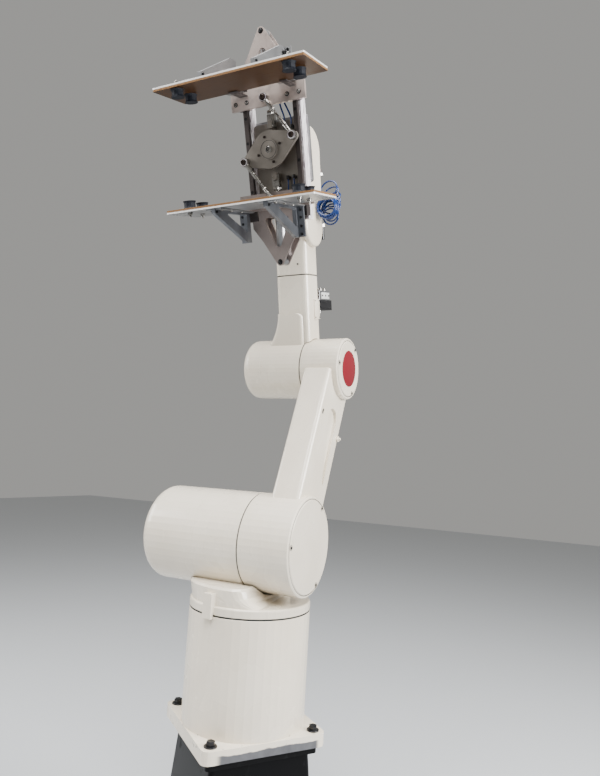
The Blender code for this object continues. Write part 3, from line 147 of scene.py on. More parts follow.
# Places on the forearm, from the elbow's centre: across, back and up
ROLL_SEAM_OUTLINE = (-0.0512, 0.0652, -0.0482, 0.0482, 0.0152)
ROLL_SEAM_LEVELS = (0.3258, 0.3282)
COVER_CORNERS = ((0.0661, 0.0005, 0.175), (0.0690, 0.0445, 0.2449))
COVER_SCREW_DEPTHS = (0.0055, 0.0395)
COVER_SCREW_RISES = (0.181, 0.239)
FRONT_SCREW_PLACE = (0.0338, -0.0492, 0.3633)
VALVE_TOP_FITTINGS = ((0.026, 0.100, 0.276), (0.050, 0.100, 0.276), (0.026, 0.135, 0.276),
                      (0.050, 0.135, 0.276))
VALVE_LOW_FITTING = (0.050, 0.085, 0.207)
VALVE_STRIPS = (((0.0642, 0.062, 0.214), (0.0668, 0.160, 0.219)),
                ((0.0642, 0.062, 0.233), (0.0668, 0.120, 0.238)))
VALVE_PLATE_CORNERS = ((0.0642, 0.074, 0.2475), (0.0656, 0.146, 0.2700))
VALVE_SCREW_DEPTHS = (0.082, 0.110, 0.138)
VALVE_SCREW_RISE = 0.2588
HOSE_NUT_RADIUS = 0.0112
HOSE_NUT_SPANS = ((0.4975, 0.5085), (0.6740, 0.6830))

# Places on the clamp, from the middle of the crank's front face; the lower jaw's rises go down
EYE_SIDE = 0.0843
EYE_RISE = 0.0275
EYE_FRONT = -0.0155
LINK_DEPTH = -0.0073
LINK_PIN_RISE = 0.148
CYLINDER_DEPTH = 0.0348
CYLINDER_PORTS = ((0.0135, 0.2120), (0.0150, 0.3000))
FORK_BOLT_DEPTH = 0.0266
FORK_BOLT_RISE = 0.076
LOCK_NUT_SPAN = (0.1062, 0.1180)
LOCK_NUT_BORE = 0.0052
LOCK_NUT_FACE = 0.0135
LOCK_NUT_CORNER = 0.0142
LOCK_NUT_CHAMFER = 0.001
HUB_SCREW_RING = 0.0395
HUB_SCREW_TURNS = (18.0, 108.0, 198.0, 288.0)
CROSSBAR_SCREW_SIDES = (-0.1015, -0.0625, 0.0745, 0.1130)
CROSSBAR_SCREW_RISE = 0.1455
FLANGE_SIDES = (-0.1100, 0.0925)
FLANGE_DEPTH = -0.0083
FLANGE_SCREW_RISES = (0.190, 0.212, 0.238, 0.262)
WEB_TIP_RISE = 0.338
WEB_FACES = ((0.0103, -1), (0.0590, 1))
BRACKET_SCREW_SIDES = (0.0822, -0.0878)
BRACKET_SCREW_DEPTH = -0.196
BRACKET_SCREW_RISE = 0.1860
KNOB_PLACE = (0.0822, -0.0185, 0.2520)
BAR_SPANS = ((-0.085, -0.056), (0.085, 0.107))
BAR_DEPTHS = (-0.068, -0.0008)
BAR_LEVELS = (0.1626, 0.1656)
FOOT_SPANS = ((-0.122, -0.070), (0.052, 0.106))
FOOT_DEPTHS = (-0.200, -0.0004)
FOOT_LEVELS = (0.1761, 0.1800)
FOOT_SCREW_SIDES = (-0.113, -0.079, 0.061, 0.096)
FOOT_SCREW_DEPTHS = (-0.180, -0.125, -0.068)
BUFFER_SIDES = (-0.186, 0.172)
BUFFER_DEPTHS = (-0.186, -0.119)
BUFFER_BOLT_FOOT = 0.1762
ELBOW_NUT_DEPTH = 0.0547
ELBOW_LENGTH = 0.0110
HOSE_TIP_SINK = 0.0010
RAIL_SIDE = 0.0855
RAIL_FACE = 0.0260
RAIL_HOLE_RISE = 0.107
RAIL_HOLE_PITCH = 0.0735
RAIL_HOLE_STEPS = range(-1, 5)
SHEET_BEVEL = 0.0006
STRIP_BEVEL = 0.0005
COVER_BEVEL = 0.0008
SHARP_ANGLE = math.radians(32.0)

# Paint colours, the way up, and the plywood's layers
CREAM = (0.74, 0.69, 0.60)
CREAM_SHADES = ((0.72, 0.645, 0.525), (0.78, 0.71, 0.59))
BLACK = (0.0015, 0.0015, 0.002)
UPWARD = (0.0, 0.0, 1.0)
PLY_LAYER = 0.00125
PLATE_SHEET_RISE = 0.1716


def place(origin, lean=0.0, turn=0.0):
    """A piece's own directions at an origin, leaned about X and turned about Z."""
    return Matrix.Translation(origin) @ Matrix.Rotation(turn, 4, "Z") @ Matrix.Rotation(lean, 4, "X")


BASE_PLACE = place((0.0, 0.0, 0.0), turn=BASE_TURN)
ARM_PLACE = place(SHOULDER, lean=UPPER_ARM_LEAN)
ELBOW_ARM_PLACE = place(ELBOW, lean=UPPER_ARM_LEAN)
FOREARM_PLACE = place(ELBOW, lean=FOREARM_LEAN)
CLAMP_PLACE = place(CRANK, lean=CLAMP_LEAN)


class Field:
    """A number that varies over a surface; Python's operators on it add Math nodes."""

    def __init__(self, coat, socket):
        self.coat = coat
        self.socket = socket

    def math(self, operation, first, second=None):
        inputs = {0: first} if second is None else {0: first, 1: second}
        return self.coat.field("ShaderNodeMath", {"operation": operation}, inputs)

    def __add__(self, other):
        return self.math("ADD", self, other)

    def __radd__(self, other):
        return self.math("ADD", other, self)

    def __sub__(self, other):
        return self.math("SUBTRACT", self, other)

    def __rsub__(self, other):
        return self.math("SUBTRACT", other, self)

    def __mul__(self, other):
        return self.math("MULTIPLY", self, other)

    def __rmul__(self, other):
        return self.math("MULTIPLY", other, self)

    def __abs__(self):
        return self.math("ABSOLUTE", self)

    def above(self, level, soft=0.01):
        """1 where the field is over a level, 0 below it, with a soft step."""
        return self.coat.field("ShaderNodeMapRange", {"interpolation_type": "SMOOTHSTEP"},
                               {"Value": self, "From Min": level - soft, "From Max": level + soft})

    def below(self, level, soft=0.01):
        return 1.0 - self.above(level, soft)


class Coat:
    """A material whose varying inputs are built up from fields."""

    def __init__(self, name, colour, roughness, metallic=0.0, clear=0.0):
        self.material = bpy.data.materials.new(name)
        self.material.use_nodes = True
        self.tree = self.material.node_tree
        self.surface = self.tree.nodes["Principled BSDF"]
        self.set("Base Color", (*colour, 1.0))
        self.set("Roughness", roughness)
        self.set("Metallic", metallic)
        self.set("Coat Weight", clear)
        self.set("Coat Roughness", 0.08)

    def feed(self, socket, value):
        if isinstance(value, Field):
            value = value.socket
        if isinstance(value, bpy.types.NodeSocket):
            self.tree.links.new(value, socket)
        else:
            socket.default_value = value

    def set(self, name, value):
        self.feed(self.surface.inputs[name], value)

    def node(self, kind, settings, inputs):
        made = self.tree.nodes.new(kind)
        for name, value in settings.items():
            setattr(made, name, value)
        for name, value in inputs.items():
            self.feed(made.inputs[name], value)
        return made

    def field(self, kind, settings, inputs):
        return Field(self, self.node(kind, settings, inputs).outputs[0])

    def vectors(self, operation, first, second):
        return self.node("ShaderNodeVectorMath", {"operation": operation}, {0: first, 1: second})

    def spot(self):
        """The point on the piece, in metres in the row frame."""
        return self.node("ShaderNodeTexCoord", {}, {}).outputs["Object"]

    def along(self, direction, start=(0.0, 0.0, 0.0)):
        """How far the point lies from a start along a direction."""
        offset = self.vectors("SUBTRACT", self.spot(), start).outputs[0]
        return Field(self, self.vectors("DOT_PRODUCT", offset, direction).outputs["Value"])

    def facing(self, direction):
        """How much the piece's own surface faces a direction, from -1 to 1."""
        normal = self.node("ShaderNodeTexCoord", {}, {}).outputs["Normal"]
        return Field(self, self.vectors("DOT_PRODUCT", normal, direction).outputs["Value"])

    def noise(self, scale, stretch=(1.0, 1.0, 1.0), detail=4.0, rough=0.5):
        spread = self.vectors("MULTIPLY", self.spot(), stretch).outputs[0]
        return self.field("ShaderNodeTexNoise", {}, {"Vector": spread, "Scale": scale, "Detail": detail,
                                                     "Roughness": rough})

    def mix(self, mask, first, second):
        """A colour between two others, each a colour or a socket."""
        made = self.node("ShaderNodeMix", {"data_type": "RGBA"}, {0: mask})
        for socket, value in ((made.inputs[6], first), (made.inputs[7], second)):
            if isinstance(value, tuple):
                value = (*value, 1.0)
            self.feed(socket, value)
        return made.outputs[2]

    def bump(self, height, strength, distance=0.001):
        made = self.node("ShaderNodeBump", {}, {"Strength": strength, "Distance": distance, "Height": height})
        self.set("Normal", made.outputs["Normal"])


def cream_enamel():
    """Gloss cream paint with faint dirt low down and in streaks."""
    coat = Coat("cream_enamel", CREAM, 0.24, clear=0.35)
    cloud = coat.noise(5.0, detail=3.0)
    tint = coat.mix(cloud.above(0.5, 0.2), *CREAM_SHADES)
    streaks = coat.noise(14.0, (1.0, 1.0, 0.12), detail=5.0).above(0.62, 0.08)
    low = coat.along(UPWARD).below(0.66, 0.14)
    specks = coat.noise(140.0, detail=2.0).above(0.735, 0.02)
    soiled = coat.mix(streaks * (0.10 + low * 0.25), tint, (0.42, 0.37, 0.29))
    coat.set("Base Color", coat.mix(specks * 0.35, soiled, (0.25, 0.22, 0.18)))
    coat.set("Roughness", 0.20 + cloud * 0.12 + streaks * 0.10)
    coat.bump(coat.noise(420.0, detail=1.0), 0.06, 0.0004)
    return coat.material


def worn_base_enamel():
    """The same paint on the base casting, worn to metal along one edge of its plate."""
    coat = Coat("worn_base_enamel", CREAM, 0.24, clear=0.2)
    cloud = coat.noise(5.0, detail=3.0)
    tint = coat.mix(cloud.above(0.5, 0.2), *CREAM_SHADES)
    outward = Vector((math.sin(BASE_TURN), -math.cos(BASE_TURN), 0.0))
    along_edge = Vector((math.cos(BASE_TURN), math.sin(BASE_TURN), 0.0))
    edge = coat.facing(tuple(outward)).above(0.9, 0.05)
    wave = coat.noise(16.0, (1.0, 1.0, 0.1), detail=3.0)
    height = coat.along(UPWARD, (0.0, 0.0, PEDESTAL_TOP))
    near = coat.along(tuple(along_edge))
    low = (height - wave * 0.020).below(0.010, 0.0015)
    bare = edge * low * near.above(-0.14, 0.01) * near.below(0.155, 0.006)
    rim = coat.along(UPWARD).below(BASE_PLATE_TOP + 0.004, 0.002)
    chips = coat.noise(60.0, detail=4.0).above(0.66, 0.02) * rim
    steel = coat.mix(coat.noise(40.0, detail=5.0), (0.075, 0.075, 0.082), (0.17, 0.17, 0.18))
    soiled = coat.mix(chips * 0.5, tint, (0.22, 0.20, 0.17))
    coat.set("Base Color", coat.mix(bare, soiled, steel))
    coat.set("Roughness", 0.22 + cloud * 0.10 + bare * 0.20)
    coat.set("Metallic", bare * 0.6)
    coat.bump(coat.noise(420.0, detail=1.0) - bare * 3.0, 0.10, 0.0004)
    return coat.material


def pedestal_black():
    """Black paint with worn scuffs."""
    coat = Coat("pedestal_black", BLACK, 0.42)
    coat.set("Specular IOR Level", 0.10)
    scuffs = coat.noise(30.0, (1.0, 1.0, 0.5), detail=6.0).above(0.66, 0.04)
    coat.set("Base Color", coat.mix(scuffs * 0.5, BLACK, (0.014, 0.014, 0.015)))
    coat.set("Roughness", 0.36 + scuffs * 0.25)
    coat.bump(coat.noise(160.0, detail=2.0), 0.15, 0.0004)
    return coat.material


def milled_aluminium():
    """Bare aluminium with mill lines and blotches."""
    coat = Coat("milled_aluminium", (0.66, 0.65, 0.64), 0.32, metallic=0.92)
    lines = coat.noise(34.0, (1.0, 6.0, 6.0), detail=6.0)
    blotch = coat.noise(18.0, detail=4.0)
    coat.set("Base Color", coat.mix(blotch, (0.20, 0.205, 0.215), (0.50, 0.50, 0.50)))
    coat.set("Roughness", 0.24 + lines * 0.26)
    coat.bump(lines, 0.10, 0.0004)
    return coat.material


def ground_steel_painted_light_and_shade():
    """Warm grey plate steel with a drawn finish and dark stains, painted lighter above 2.30 m as light on the
    upper jaw and darker below as shade on the lower jaw.
    """
    coat = Coat("ground_steel_painted_light_and_shade", (0.40, 0.36, 0.34), 0.36, metallic=0.85)
    lines = coat.noise(50.0, (5.0, 1.0, 1.0), detail=6.0)
    stains = coat.noise(26.0, detail=5.0).above(0.56, 0.10)
    cloud = coat.noise(9.0)
    # Painted light and shade: the darker colours below 2.30 m are shade on the lower jaw, the lighter warm
    # ones above it a painted sheen on the upper jaw.
    lower = coat.mix(cloud, (0.27, 0.222, 0.205), (0.42, 0.355, 0.330))
    upper = coat.mix(cloud, (0.52, 0.435, 0.395), (0.74, 0.635, 0.580))
    tint = coat.mix(coat.along(UPWARD).above(2.30, 0.08), lower, upper)
    coat.set("Base Color", coat.mix(stains * 0.35, tint, (0.17, 0.14, 0.135)))
    coat.set("Roughness", 0.26 + lines * 0.20)
    coat.bump(lines, 0.08, 0.0004)
    return coat.material


def bracket_aluminium_painted_shade():
    """Duller, darker aluminium sheet; the darkness is painted shade, for brackets in shade under the jaw's
    plate.
    """
    coat = Coat("bracket_aluminium_painted_shade", (0.25, 0.26, 0.28), 0.36, metallic=0.85)
    blotch = coat.noise(20.0, detail=5.0)
    # Painted shade: both colours are darkened for the shade under the plate; the blotches are the sheet's
    # own.
    coat.set("Base Color", coat.mix(blotch, (0.085, 0.090, 0.105), (0.24, 0.25, 0.27)))
    coat.set("Roughness", 0.28 + blotch * 0.22)
    return coat.material


def oiled_crank_steel():
    """Brown-grey steel under a film of old oil."""
    coat = Coat("oiled_crank_steel", (0.26, 0.23, 0.20), 0.34, metallic=0.75)
    stains = coat.noise(22.0, detail=5.0)
    coat.set("Base Color", coat.mix(stains, (0.17, 0.150, 0.130), (0.36, 0.325, 0.285)))
    coat.set("Roughness", 0.24 + stains * 0.26)
    coat.bump(coat.noise(120.0, detail=3.0), 0.08, 0.0004)
    return coat.material


def polished_steel_painted_reflection():
    """Bright bar with streaks along it; its near-white colour, with little metal in it, is painted reflection
    of the polished steel.
    """
    coat = Coat("polished_steel_painted_reflection", (0.80, 0.76, 0.75), 0.14, metallic=0.22)
    lines = coat.noise(60.0, (3.0, 3.0, 0.25), detail=5.0)
    # Painted reflection: the streaks' near-white and pinkish colours stand for what the polished bar
    # reflects; the streaks themselves are the bar's own.
    coat.set("Base Color", coat.mix(lines.above(0.47, 0.10), (0.50, 0.435, 0.47), (1.0, 0.97, 0.98)))
    coat.set("Roughness", 0.14 + lines * 0.20)
    return coat.material


def plated_steel():
    """Plated rods and fasteners, lightly tarnished."""
    coat = Coat("plated_steel", (0.60, 0.56, 0.49), 0.22, metallic=1.0)
    tarnish = coat.noise(70.0, detail=4.0)
    coat.set("Base Color", coat.mix(tarnish, (0.13, 0.12, 0.105), (0.52, 0.50, 0.47)))
    coat.set("Roughness", 0.15 + tarnish * 0.25)
    return coat.material


def dark_rail_steel():
    """Dark guide rail steel."""
    coat = Coat("dark_rail_steel", (0.08, 0.07, 0.07), 0.32, metallic=0.8)
    wipe = coat.noise(24.0, (1.0, 0.4, 0.4), detail=4.0)
    coat.set("Base Color", coat.mix(wipe, (0.040, 0.034, 0.034), (0.120, 0.100, 0.095)))
    coat.set("Roughness", 0.24 + wipe * 0.24)
    return coat.material


def brown_plywood():
    """Film-faced plywood: smooth brown faces and pale layered edges."""
    coat = Coat("brown_plywood", (0.26, 0.13, 0.06), 0.42)
    across = (0.0, -math.sin(CLAMP_LEAN), math.cos(CLAMP_LEAN))
    face = abs(coat.facing(across)).above(0.6, 0.05)
    figure = coat.noise(7.0, (3.0, 1.0, 1.0), detail=6.0)
    film = coat.mix(figure, (0.036, 0.0135, 0.0032), (0.070, 0.029, 0.0078))
    scratches = coat.noise(90.0, (0.15, 1.0, 1.0), detail=4.0).above(0.66, 0.03)
    scratched = coat.mix(scratches * 0.35, film, (0.15, 0.080, 0.034))
    level = coat.along(across, tuple(CRANK))
    fold = coat.field("ShaderNodeMath", {"operation": "PINGPONG"}, {0: level, 1: PLY_LAYER})
    layers = fold * (1.0 / PLY_LAYER)
    edge = coat.mix(layers.above(0.5, 0.3), (0.08, 0.034, 0.011), (0.30, 0.155, 0.058))
    sheet = abs(level).above(PLATE_SHEET_RISE, 0.0003)
    wood = coat.mix(face, edge, scratched)
    sheet_face = coat.mix(coat.noise(20.0, detail=4.0), (0.22, 0.22, 0.225), (0.46, 0.46, 0.46))
    metal = coat.mix(face, (0.80, 0.79, 0.78), sheet_face)
    coat.set("Base Color", coat.mix(sheet, wood, metal))
    coat.set("Specular IOR Level", 0.28)
    coat.set("Roughness", 0.62 - face * 0.22 + scratches * 0.15 - sheet * 0.10)
    coat.set("Metallic", sheet * 0.7)
    coat.bump(figure, 0.08, 0.0005)
    return coat.material


def moulded_rubber():
    """Dusty black rubber."""
    coat = Coat("moulded_rubber", (0.006, 0.007, 0.011), 0.55)
    coat.set("Specular IOR Level", 0.20)
    dust = coat.noise(60.0, detail=4.0)
    coat.set("Base Color", coat.mix(dust, (0.004, 0.005, 0.009), (0.016, 0.019, 0.027)))
    coat.set("Roughness", 0.46 + dust * 0.24)
    return coat.material


COATS = {
    "cream_paint": cream_enamel(),
    "base": worn_base_enamel(),
    "black_paint": pedestal_black(),
    "aluminium": milled_aluminium(),
    "grey_steel": ground_steel_painted_light_and_shade(),
    "bracket": bracket_aluminium_painted_shade(),
    "crank": oiled_crank_steel(),
    "bright_steel": polished_steel_painted_reflection(),
    "plated": plated_steel(),
    "dark_steel": dark_rail_steel(),
    "plywood": brown_plywood(),
    "rubber": moulded_rubber(),
    "blue_hose": Coat("blue_air_hose", (0.0005, 0.021, 0.120), 0.26, clear=0.18).material,
    "red": Coat("red_disc_enamel", (0.17, 0.002, 0.009), 0.36, clear=0.05).material,
    "gap": Coat("dark_joint_seal", (0.006, 0.006, 0.006), 0.7).material,
    "bolt_black": Coat("black_oxide_bolts", (0.012, 0.012, 0.013), 0.32, metallic=0.5).material,
    "brown_bolt": Coat("oiled_pin_bolts", (0.035, 0.024, 0.019), 0.28, metallic=0.6).material,
    # Painted shade: flat near-black pieces in this coat stand for the shade inside notches, slots and
    # counterbores.
    "hole": Coat("unlit_hole", (0.004, 0.004, 0.004), 0.9).material,
    "black_plastic": Coat("black_moulding", (0.005, 0.005, 0.006), 0.38).material,
    "clear_white": Coat("pale_moulding", (0.62, 0.62, 0.60), 0.30).material,
}

# Pieces of the CAD whose coat isn't the one named for their slot
OWN_COATS = {
    "base_casting": "base",
    "crank": "crank",
    "centre_plate": "crank",
    "left_upright": "bright_steel",
    "right_upright": "bright_steel",
    "upper_link": "plated",
    "lower_link": "plated",
    "upper_cylinder_rod": "plated",
    "lower_cylinder_rod": "plated",
    "lower_hose_fitting": "black_plastic",
    "valve_block": "black_plastic",
    "upper_crossbar": "grey_steel",
    "lower_crossbar": "grey_steel",
    # The lower brackets take the darker aluminium as painted shade under the lower plate.
    "lower_left_bracket": "bracket",
    "lower_right_bracket": "bracket",
}
for row in frame["record"]["subparts"]:
    node = frame["nodes"][row["node"]]
    coat_name = OWN_COATS.get(row["node"], row["material_slot"])
    node.data.materials.clear()
    node.data.materials.append(COATS[coat_name])


def add_piece(name, shape, body, coat, matrix=None):
    """A finished shape as an object that rides on a body."""
    if matrix is not None:
        bmesh.ops.transform(shape, matrix=matrix, verts=shape.verts)
    bmesh.ops.recalc_face_normals(shape, faces=shape.faces)
    mesh = bpy.data.meshes.new(name)
    shape.to_mesh(mesh)
    shape.free()
    mesh.materials.append(COATS[coat])
    mesh.shade_smooth()
    mesh.set_sharp_from_angle(angle=SHARP_ANGLE)
    thing = bpy.data.objects.new(name, mesh)
    bpy.context.scene.collection.objects.link(thing)
    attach(thing, body)
    return thing


def lathe(shape, profile, sides=32, matrix=None):
    """Adds a profile of (radius, level) points turned about Z; a zero radius is a pole."""
    rings = []
    for radius, level in profile:
        if radius == 0:
            rings.append([shape.verts.new((0.0, 0.0, level))])
        else:
            rings.append([shape.verts.new((radius * math.cos(math.tau * step / sides),
                                           radius * math.sin(math.tau * step / sides), level))
                          for step in range(sides)])
    for lower, upper in zip(rings, rings[1:]):
        for step in range(sides):
            following = (step + 1) % sides
            corners = [lower[step % len(lower)], lower[following % len(lower)],
                       upper[following % len(upper)], upper[step % len(upper)]]
            corners = list(dict.fromkeys(corners))
            if len(corners) > 2:
                shape.faces.new(corners)
    if matrix is not None:
        bmesh.ops.transform(shape, matrix=matrix, verts=[vert for ring in rings for vert in ring])
    return shape


def facing(origin, direction):
    """Puts Z along a direction, from an origin."""
    turn = Vector(direction).to_track_quat("Z", "X").to_matrix().to_4x4()
    return Matrix.Translation(origin) @ turn


def socket_screw(shape, matrix, head=0.0055, height=0.005, recess=0.55):
    """A cap screw with a chamfered head and a hexagonal socket."""
    floor = height * 0.3
    socket = head * recess
    lathe(shape, [(0.0, floor), (socket, floor), (socket, height)], 6, matrix)
    lathe(shape, [(socket, height), (head * 0.88, height), (head, height * 0.85), (head, 0.0)], 18, matrix)


def hex_bolt(shape, matrix, head, height, washer):
    """A hexagon bolt on a washer."""
    rim = height * 0.22
    corner = height * 0.84
    lathe(shape, [(0.0, rim), (washer * 0.96, rim), (washer, rim * 0.7), (washer, 0.0)], 24, matrix)
    dome = [(0.0, height), (head * 0.80, height), (head * 0.98, height * 0.90), (head, corner)]
    lathe(shape, dome, 6, matrix)
    lathe(shape, [(head, corner), (head, rim)], 6, matrix)


def pin_head(shape, matrix, floor, top, rim, flange):
    """A round bolt head on a flange, with a socket down to a floor."""
    lathe(shape, [(0.0, floor), (0.0030, floor), (0.0034, top), (0.0066, top), (0.0074, top - 0.0008),
                  (0.0074, rim), (flange, rim - 0.0001), (flange, 0.0)], 20, matrix)


def ring(shape, inner, outer, low, high, sides=32, matrix=None):
    """A flat ring between two levels."""
    lathe(shape, [(inner, low), (outer, low), (outer, high), (inner, high), (inner, low)], sides, matrix)


def block(shape, low, high, matrix=None, bevel=0.0):
    """A box between two corners with its edges broken."""
    made = bmesh.ops.create_cube(shape, size=1.0)["verts"]
    size = Vector(high) - Vector(low)
    middle = (Vector(high) + Vector(low)) / 2
    bmesh.ops.transform(shape, matrix=Matrix.Translation(middle) @ Matrix.Diagonal((*size, 1.0)), verts=made)
    if bevel:
        edges = list({edge for vert in made for edge in vert.link_edges})
        made = bmesh.ops.bevel(shape, geom=edges, offset=bevel, segments=2, affect="EDGES",
                               profile=0.5)["verts"] + [vert for vert in made if vert.is_valid]
    if matrix is not None:
        bmesh.ops.transform(shape, matrix=matrix, verts=list(set(made)))


def outline_band(shape, outline, low, high, matrix=None):
    """A closed slab with a given outline in XY, between two levels."""
    lower = [shape.verts.new((x, y, low)) for x, y in outline]
    upper = [shape.verts.new((x, y, high)) for x, y in outline]
    shape.faces.new(lower[::-1])
    shape.faces.new(upper)
    for first, (one, two) in enumerate(zip(lower, upper)):
        after = (first + 1) % len(outline)
        shape.faces.new((one, lower[after], upper[after], two))
    if matrix is not None:
        bmesh.ops.transform(shape, matrix=matrix, verts=lower + upper)


def rounded_outline(left, right, front, back, corner, steps=6):
    """A rectangle's outline with rounded corners."""
    points = []
    for across, along, turn in ((right, back, 0), (left, back, 1), (left, front, 2), (right, front, 3)):
        centre = Vector((across - corner if across == right else across + corner,
                         along - corner if along == back else along + corner))
        for step in range(steps + 1):
            angle = math.pi / 2 * (turn + step / steps)
            points.append((centre.x + corner * math.cos(angle), centre.y + corner * math.sin(angle)))
    return points


def smooth_path(points, steps):
    """A soft curve through points."""
    points = [Vector(point) for point in points]
    ends = [points[0] * 2 - points[1], *points, points[-1] * 2 - points[-2]]
    path = []
    for before, one, two, after in zip(ends, ends[1:], ends[2:], ends[3:]):
        square = 2 * before - 5 * one + 4 * two - after
        cube = 3 * one - before - 3 * two + after
        for step in range(steps):
            t = step / steps
            path.append(0.5 * (2 * one + (two - before) * t + square * t ** 2 + cube * t ** 3))
    return path + [points[-1]]


def add_hose(name, path, body):
    """An air hose as a round curve of one open spline through its points."""
    curve = bpy.data.curves.new(name, "CURVE")
    curve.dimensions = "3D"
    curve.bevel_depth = HOSE_DIAMETER / 2
    curve.bevel_resolution = 3
    curve.use_fill_caps = True
    spline = curve.splines.new("POLY")
    spline.points.add(len(path) - 1)
    for point, spot in zip(spline.points, path):
        point.co = (*spot, 1.0)
    spline.use_smooth = True
    curve.materials.append(COATS["blue_hose"])
    hose = bpy.data.objects.new(name, curve)
    bpy.context.scene.collection.objects.link(hose)
    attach(hose, body)
    return hose


def path_length(path):
    return sum((two - one).length for one, two in zip(path, path[1:]))


def add_camera():
    """The camera, from its place and its three turns."""
    yaw, pitch, roll = CAMERA_YAW, CAMERA_PITCH, CAMERA_ROLL
    forward = Vector((-math.sin(yaw) * math.cos(pitch), math.cos(yaw) * math.cos(pitch), math.sin(pitch)))
    right = Vector((math.cos(yaw), math.sin(yaw), 0.0))
    up = right.cross(forward)
    turned_right = right * math.cos(roll) + up * math.sin(roll)
    turned_up = up * math.cos(roll) - right * math.sin(roll)
    data = bpy.data.cameras.new("camera")
    data.lens = CAMERA_LENS
    data.sensor_width = 36.0
    data.clip_start = 0.02
    camera = bpy.data.objects.new("camera", data)
    bpy.context.scene.collection.objects.link(camera)
    turn = Matrix((turned_right, turned_up, -forward)).transposed().to_4x4()
    camera.matrix_world = Matrix.Translation(CAMERA_PLACE) @ turn
    bpy.context.scene.camera = camera


add_camera()

# The coiled air hose at the wrist's side cover
FITTING_SIDE = 0.0745
FITTING_DEPTH = 0.0788
LOWER_FITTING_END = 0.5103
UPPER_FITTING_START = 0.6727
HOSE_DIAMETER = 0.0055
# One row for each turn: the turn's centre across, back and up, its radius, and its tilt and swing in degrees
HOSE_TURNS = (
    (0.1055, 0.0788, 0.523, 0.0310, 0.0, 0.0),
    (0.1150, 0.0690, 0.536, 0.0315, 3.0, -8.0),
    (0.1200, 0.0580, 0.546, 0.0325, -4.0, -18.0),
    (0.1190, 0.0460, 0.553, 0.0315, 4.0, -26.0),
    (0.1260, 0.0340, 0.546, 0.0330, -5.0, -22.0),
    (0.1200, 0.0240, 0.552, 0.0315, 4.0, -12.0),
    (0.1215, 0.0160, 0.546, 0.0325, -5.0, -4.0),
    (0.1200, 0.0120, 0.555, 0.0315, 4.0, 4.0),
    (0.1240, 0.0140, 0.548, 0.0335, -4.0, 12.0),
    (0.1195, 0.0220, 0.557, 0.0315, 5.0, 18.0),
    (0.1260, 0.0310, 0.549, 0.0335, -3.0, 20.0),
    (0.1200, 0.0400, 0.557, 0.0315, 8.0, 16.0),
    (0.1240, 0.0500, 0.553, 0.0325, 8.0, 10.0),
    (0.1220, 0.0600, 0.568, 0.0315, 26.0, 4.0),
    (0.1200, 0.0700, 0.586, 0.0315, 44.0, 0.0),
    (0.1150, 0.0780, 0.604, 0.0315, 40.0, 0.0),
    (0.1070, 0.0788, 0.620, 0.0315, 18.0, 0.0),
    (0.1055, 0.0788, 0.630, 0.0310, 0.0, 0.0),
)
HOSE_STEPS = 20
CLAMP_HOSE_STEPS = 8
HOSE_STRAIGHT_STEP = 0.0042
LOWER_STRAIGHT_POINTS = 3
UPPER_STRAIGHT_POINTS = 4


def coiled_hose_path():
    """Straight up out of the lower fitting, round its turns, and straight up into the upper fitting."""
    path = [Vector((FITTING_SIDE, FITTING_DEPTH, LOWER_FITTING_END + HOSE_STRAIGHT_STEP * step))
            for step in range(LOWER_STRAIGHT_POINTS)]
    for step, (side, depth, height, radius, tilt, swing) in enumerate(smooth_path(HOSE_TURNS, HOSE_STEPS)):
        angle = math.pi - math.tau * step / HOSE_STEPS
        across = radius * math.cos(angle)
        rise = radius * math.sin(angle)
        swing = math.radians(swing)
        tilt = math.radians(tilt)
        path.append(Vector((side + across * math.cos(swing),
                            depth + across * math.sin(swing) + rise * math.sin(tilt),
                            height + rise * math.cos(tilt))))
    last = path[-1].z
    rise = (UPPER_FITTING_START - last) / UPPER_STRAIGHT_POINTS
    path += [Vector((FITTING_SIDE, FITTING_DEPTH, last + rise * (step + 1)))
             for step in range(UPPER_STRAIGHT_POINTS)]
    return [FOREARM_PLACE @ point for point in path]


hose_path = coiled_hose_path()
spiral = add_hose("coiled_air_hose", hose_path, "wrist_tube")
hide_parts("spiral_hose")
path_length(hose_path)

# Four short air hoses inside the clamp, from elbows on the centre plate towards the two cylinders
CLAMP_HOSES = (
    ("upper_hose_left", (0.040, 0.0425, 0.070), (0.040, 0.0425, 0.082), (0.0385, 0.0420, 0.100),
     (0.033, 0.040, 0.120), (0.030, 0.037, 0.140), (0.0290, 0.035, 0.160), (0.0290, 0.0345, 0.186)),
    ("upper_hose_right", (0.062, 0.0425, 0.070), (0.062, 0.0425, 0.082), (0.060, 0.0420, 0.098),
     (0.0525, 0.040, 0.118), (0.045, 0.038, 0.138), (0.042, 0.036, 0.160), (0.042, 0.0355, 0.186)),
    ("lower_hose_left", (0.036, 0.0425, -0.088), (0.036, 0.0425, -0.100), (0.0345, 0.0415, -0.120),
     (0.031, 0.039, -0.145), (0.0300, 0.036, -0.175), (0.0300, 0.035, -0.205)),
    ("lower_hose_right", (0.056, 0.0425, -0.088), (0.056, 0.0425, -0.100), (0.0545, 0.0420, -0.118),
     (0.049, 0.040, -0.142), (0.046, 0.037, -0.172), (0.0455, 0.036, -0.205)))
for name, *points in CLAMP_HOSES:
    hose_path = [CLAMP_PLACE @ point for point in smooth_path(points, CLAMP_HOSE_STEPS)]
    hose = add_hose(name, hose_path, "clamp_frame")
    path_length(hose_path)

# Base bolts through the four holes of the plate
bolts = bmesh.new()
for across in (-1, 1):
    for back in (-1, 1):
        spot = (across * BASE_BOLT_HALF, back * BASE_BOLT_HALF)
        seat = BASE_PLACE @ Matrix.Translation((*spot, BASE_PLATE_TOP + BASE_BOLT_LIFT))
        hex_bolt(bolts, seat, *BASE_BOLT)
add_piece("base_bolts", bolts, "base", "bolt_black")


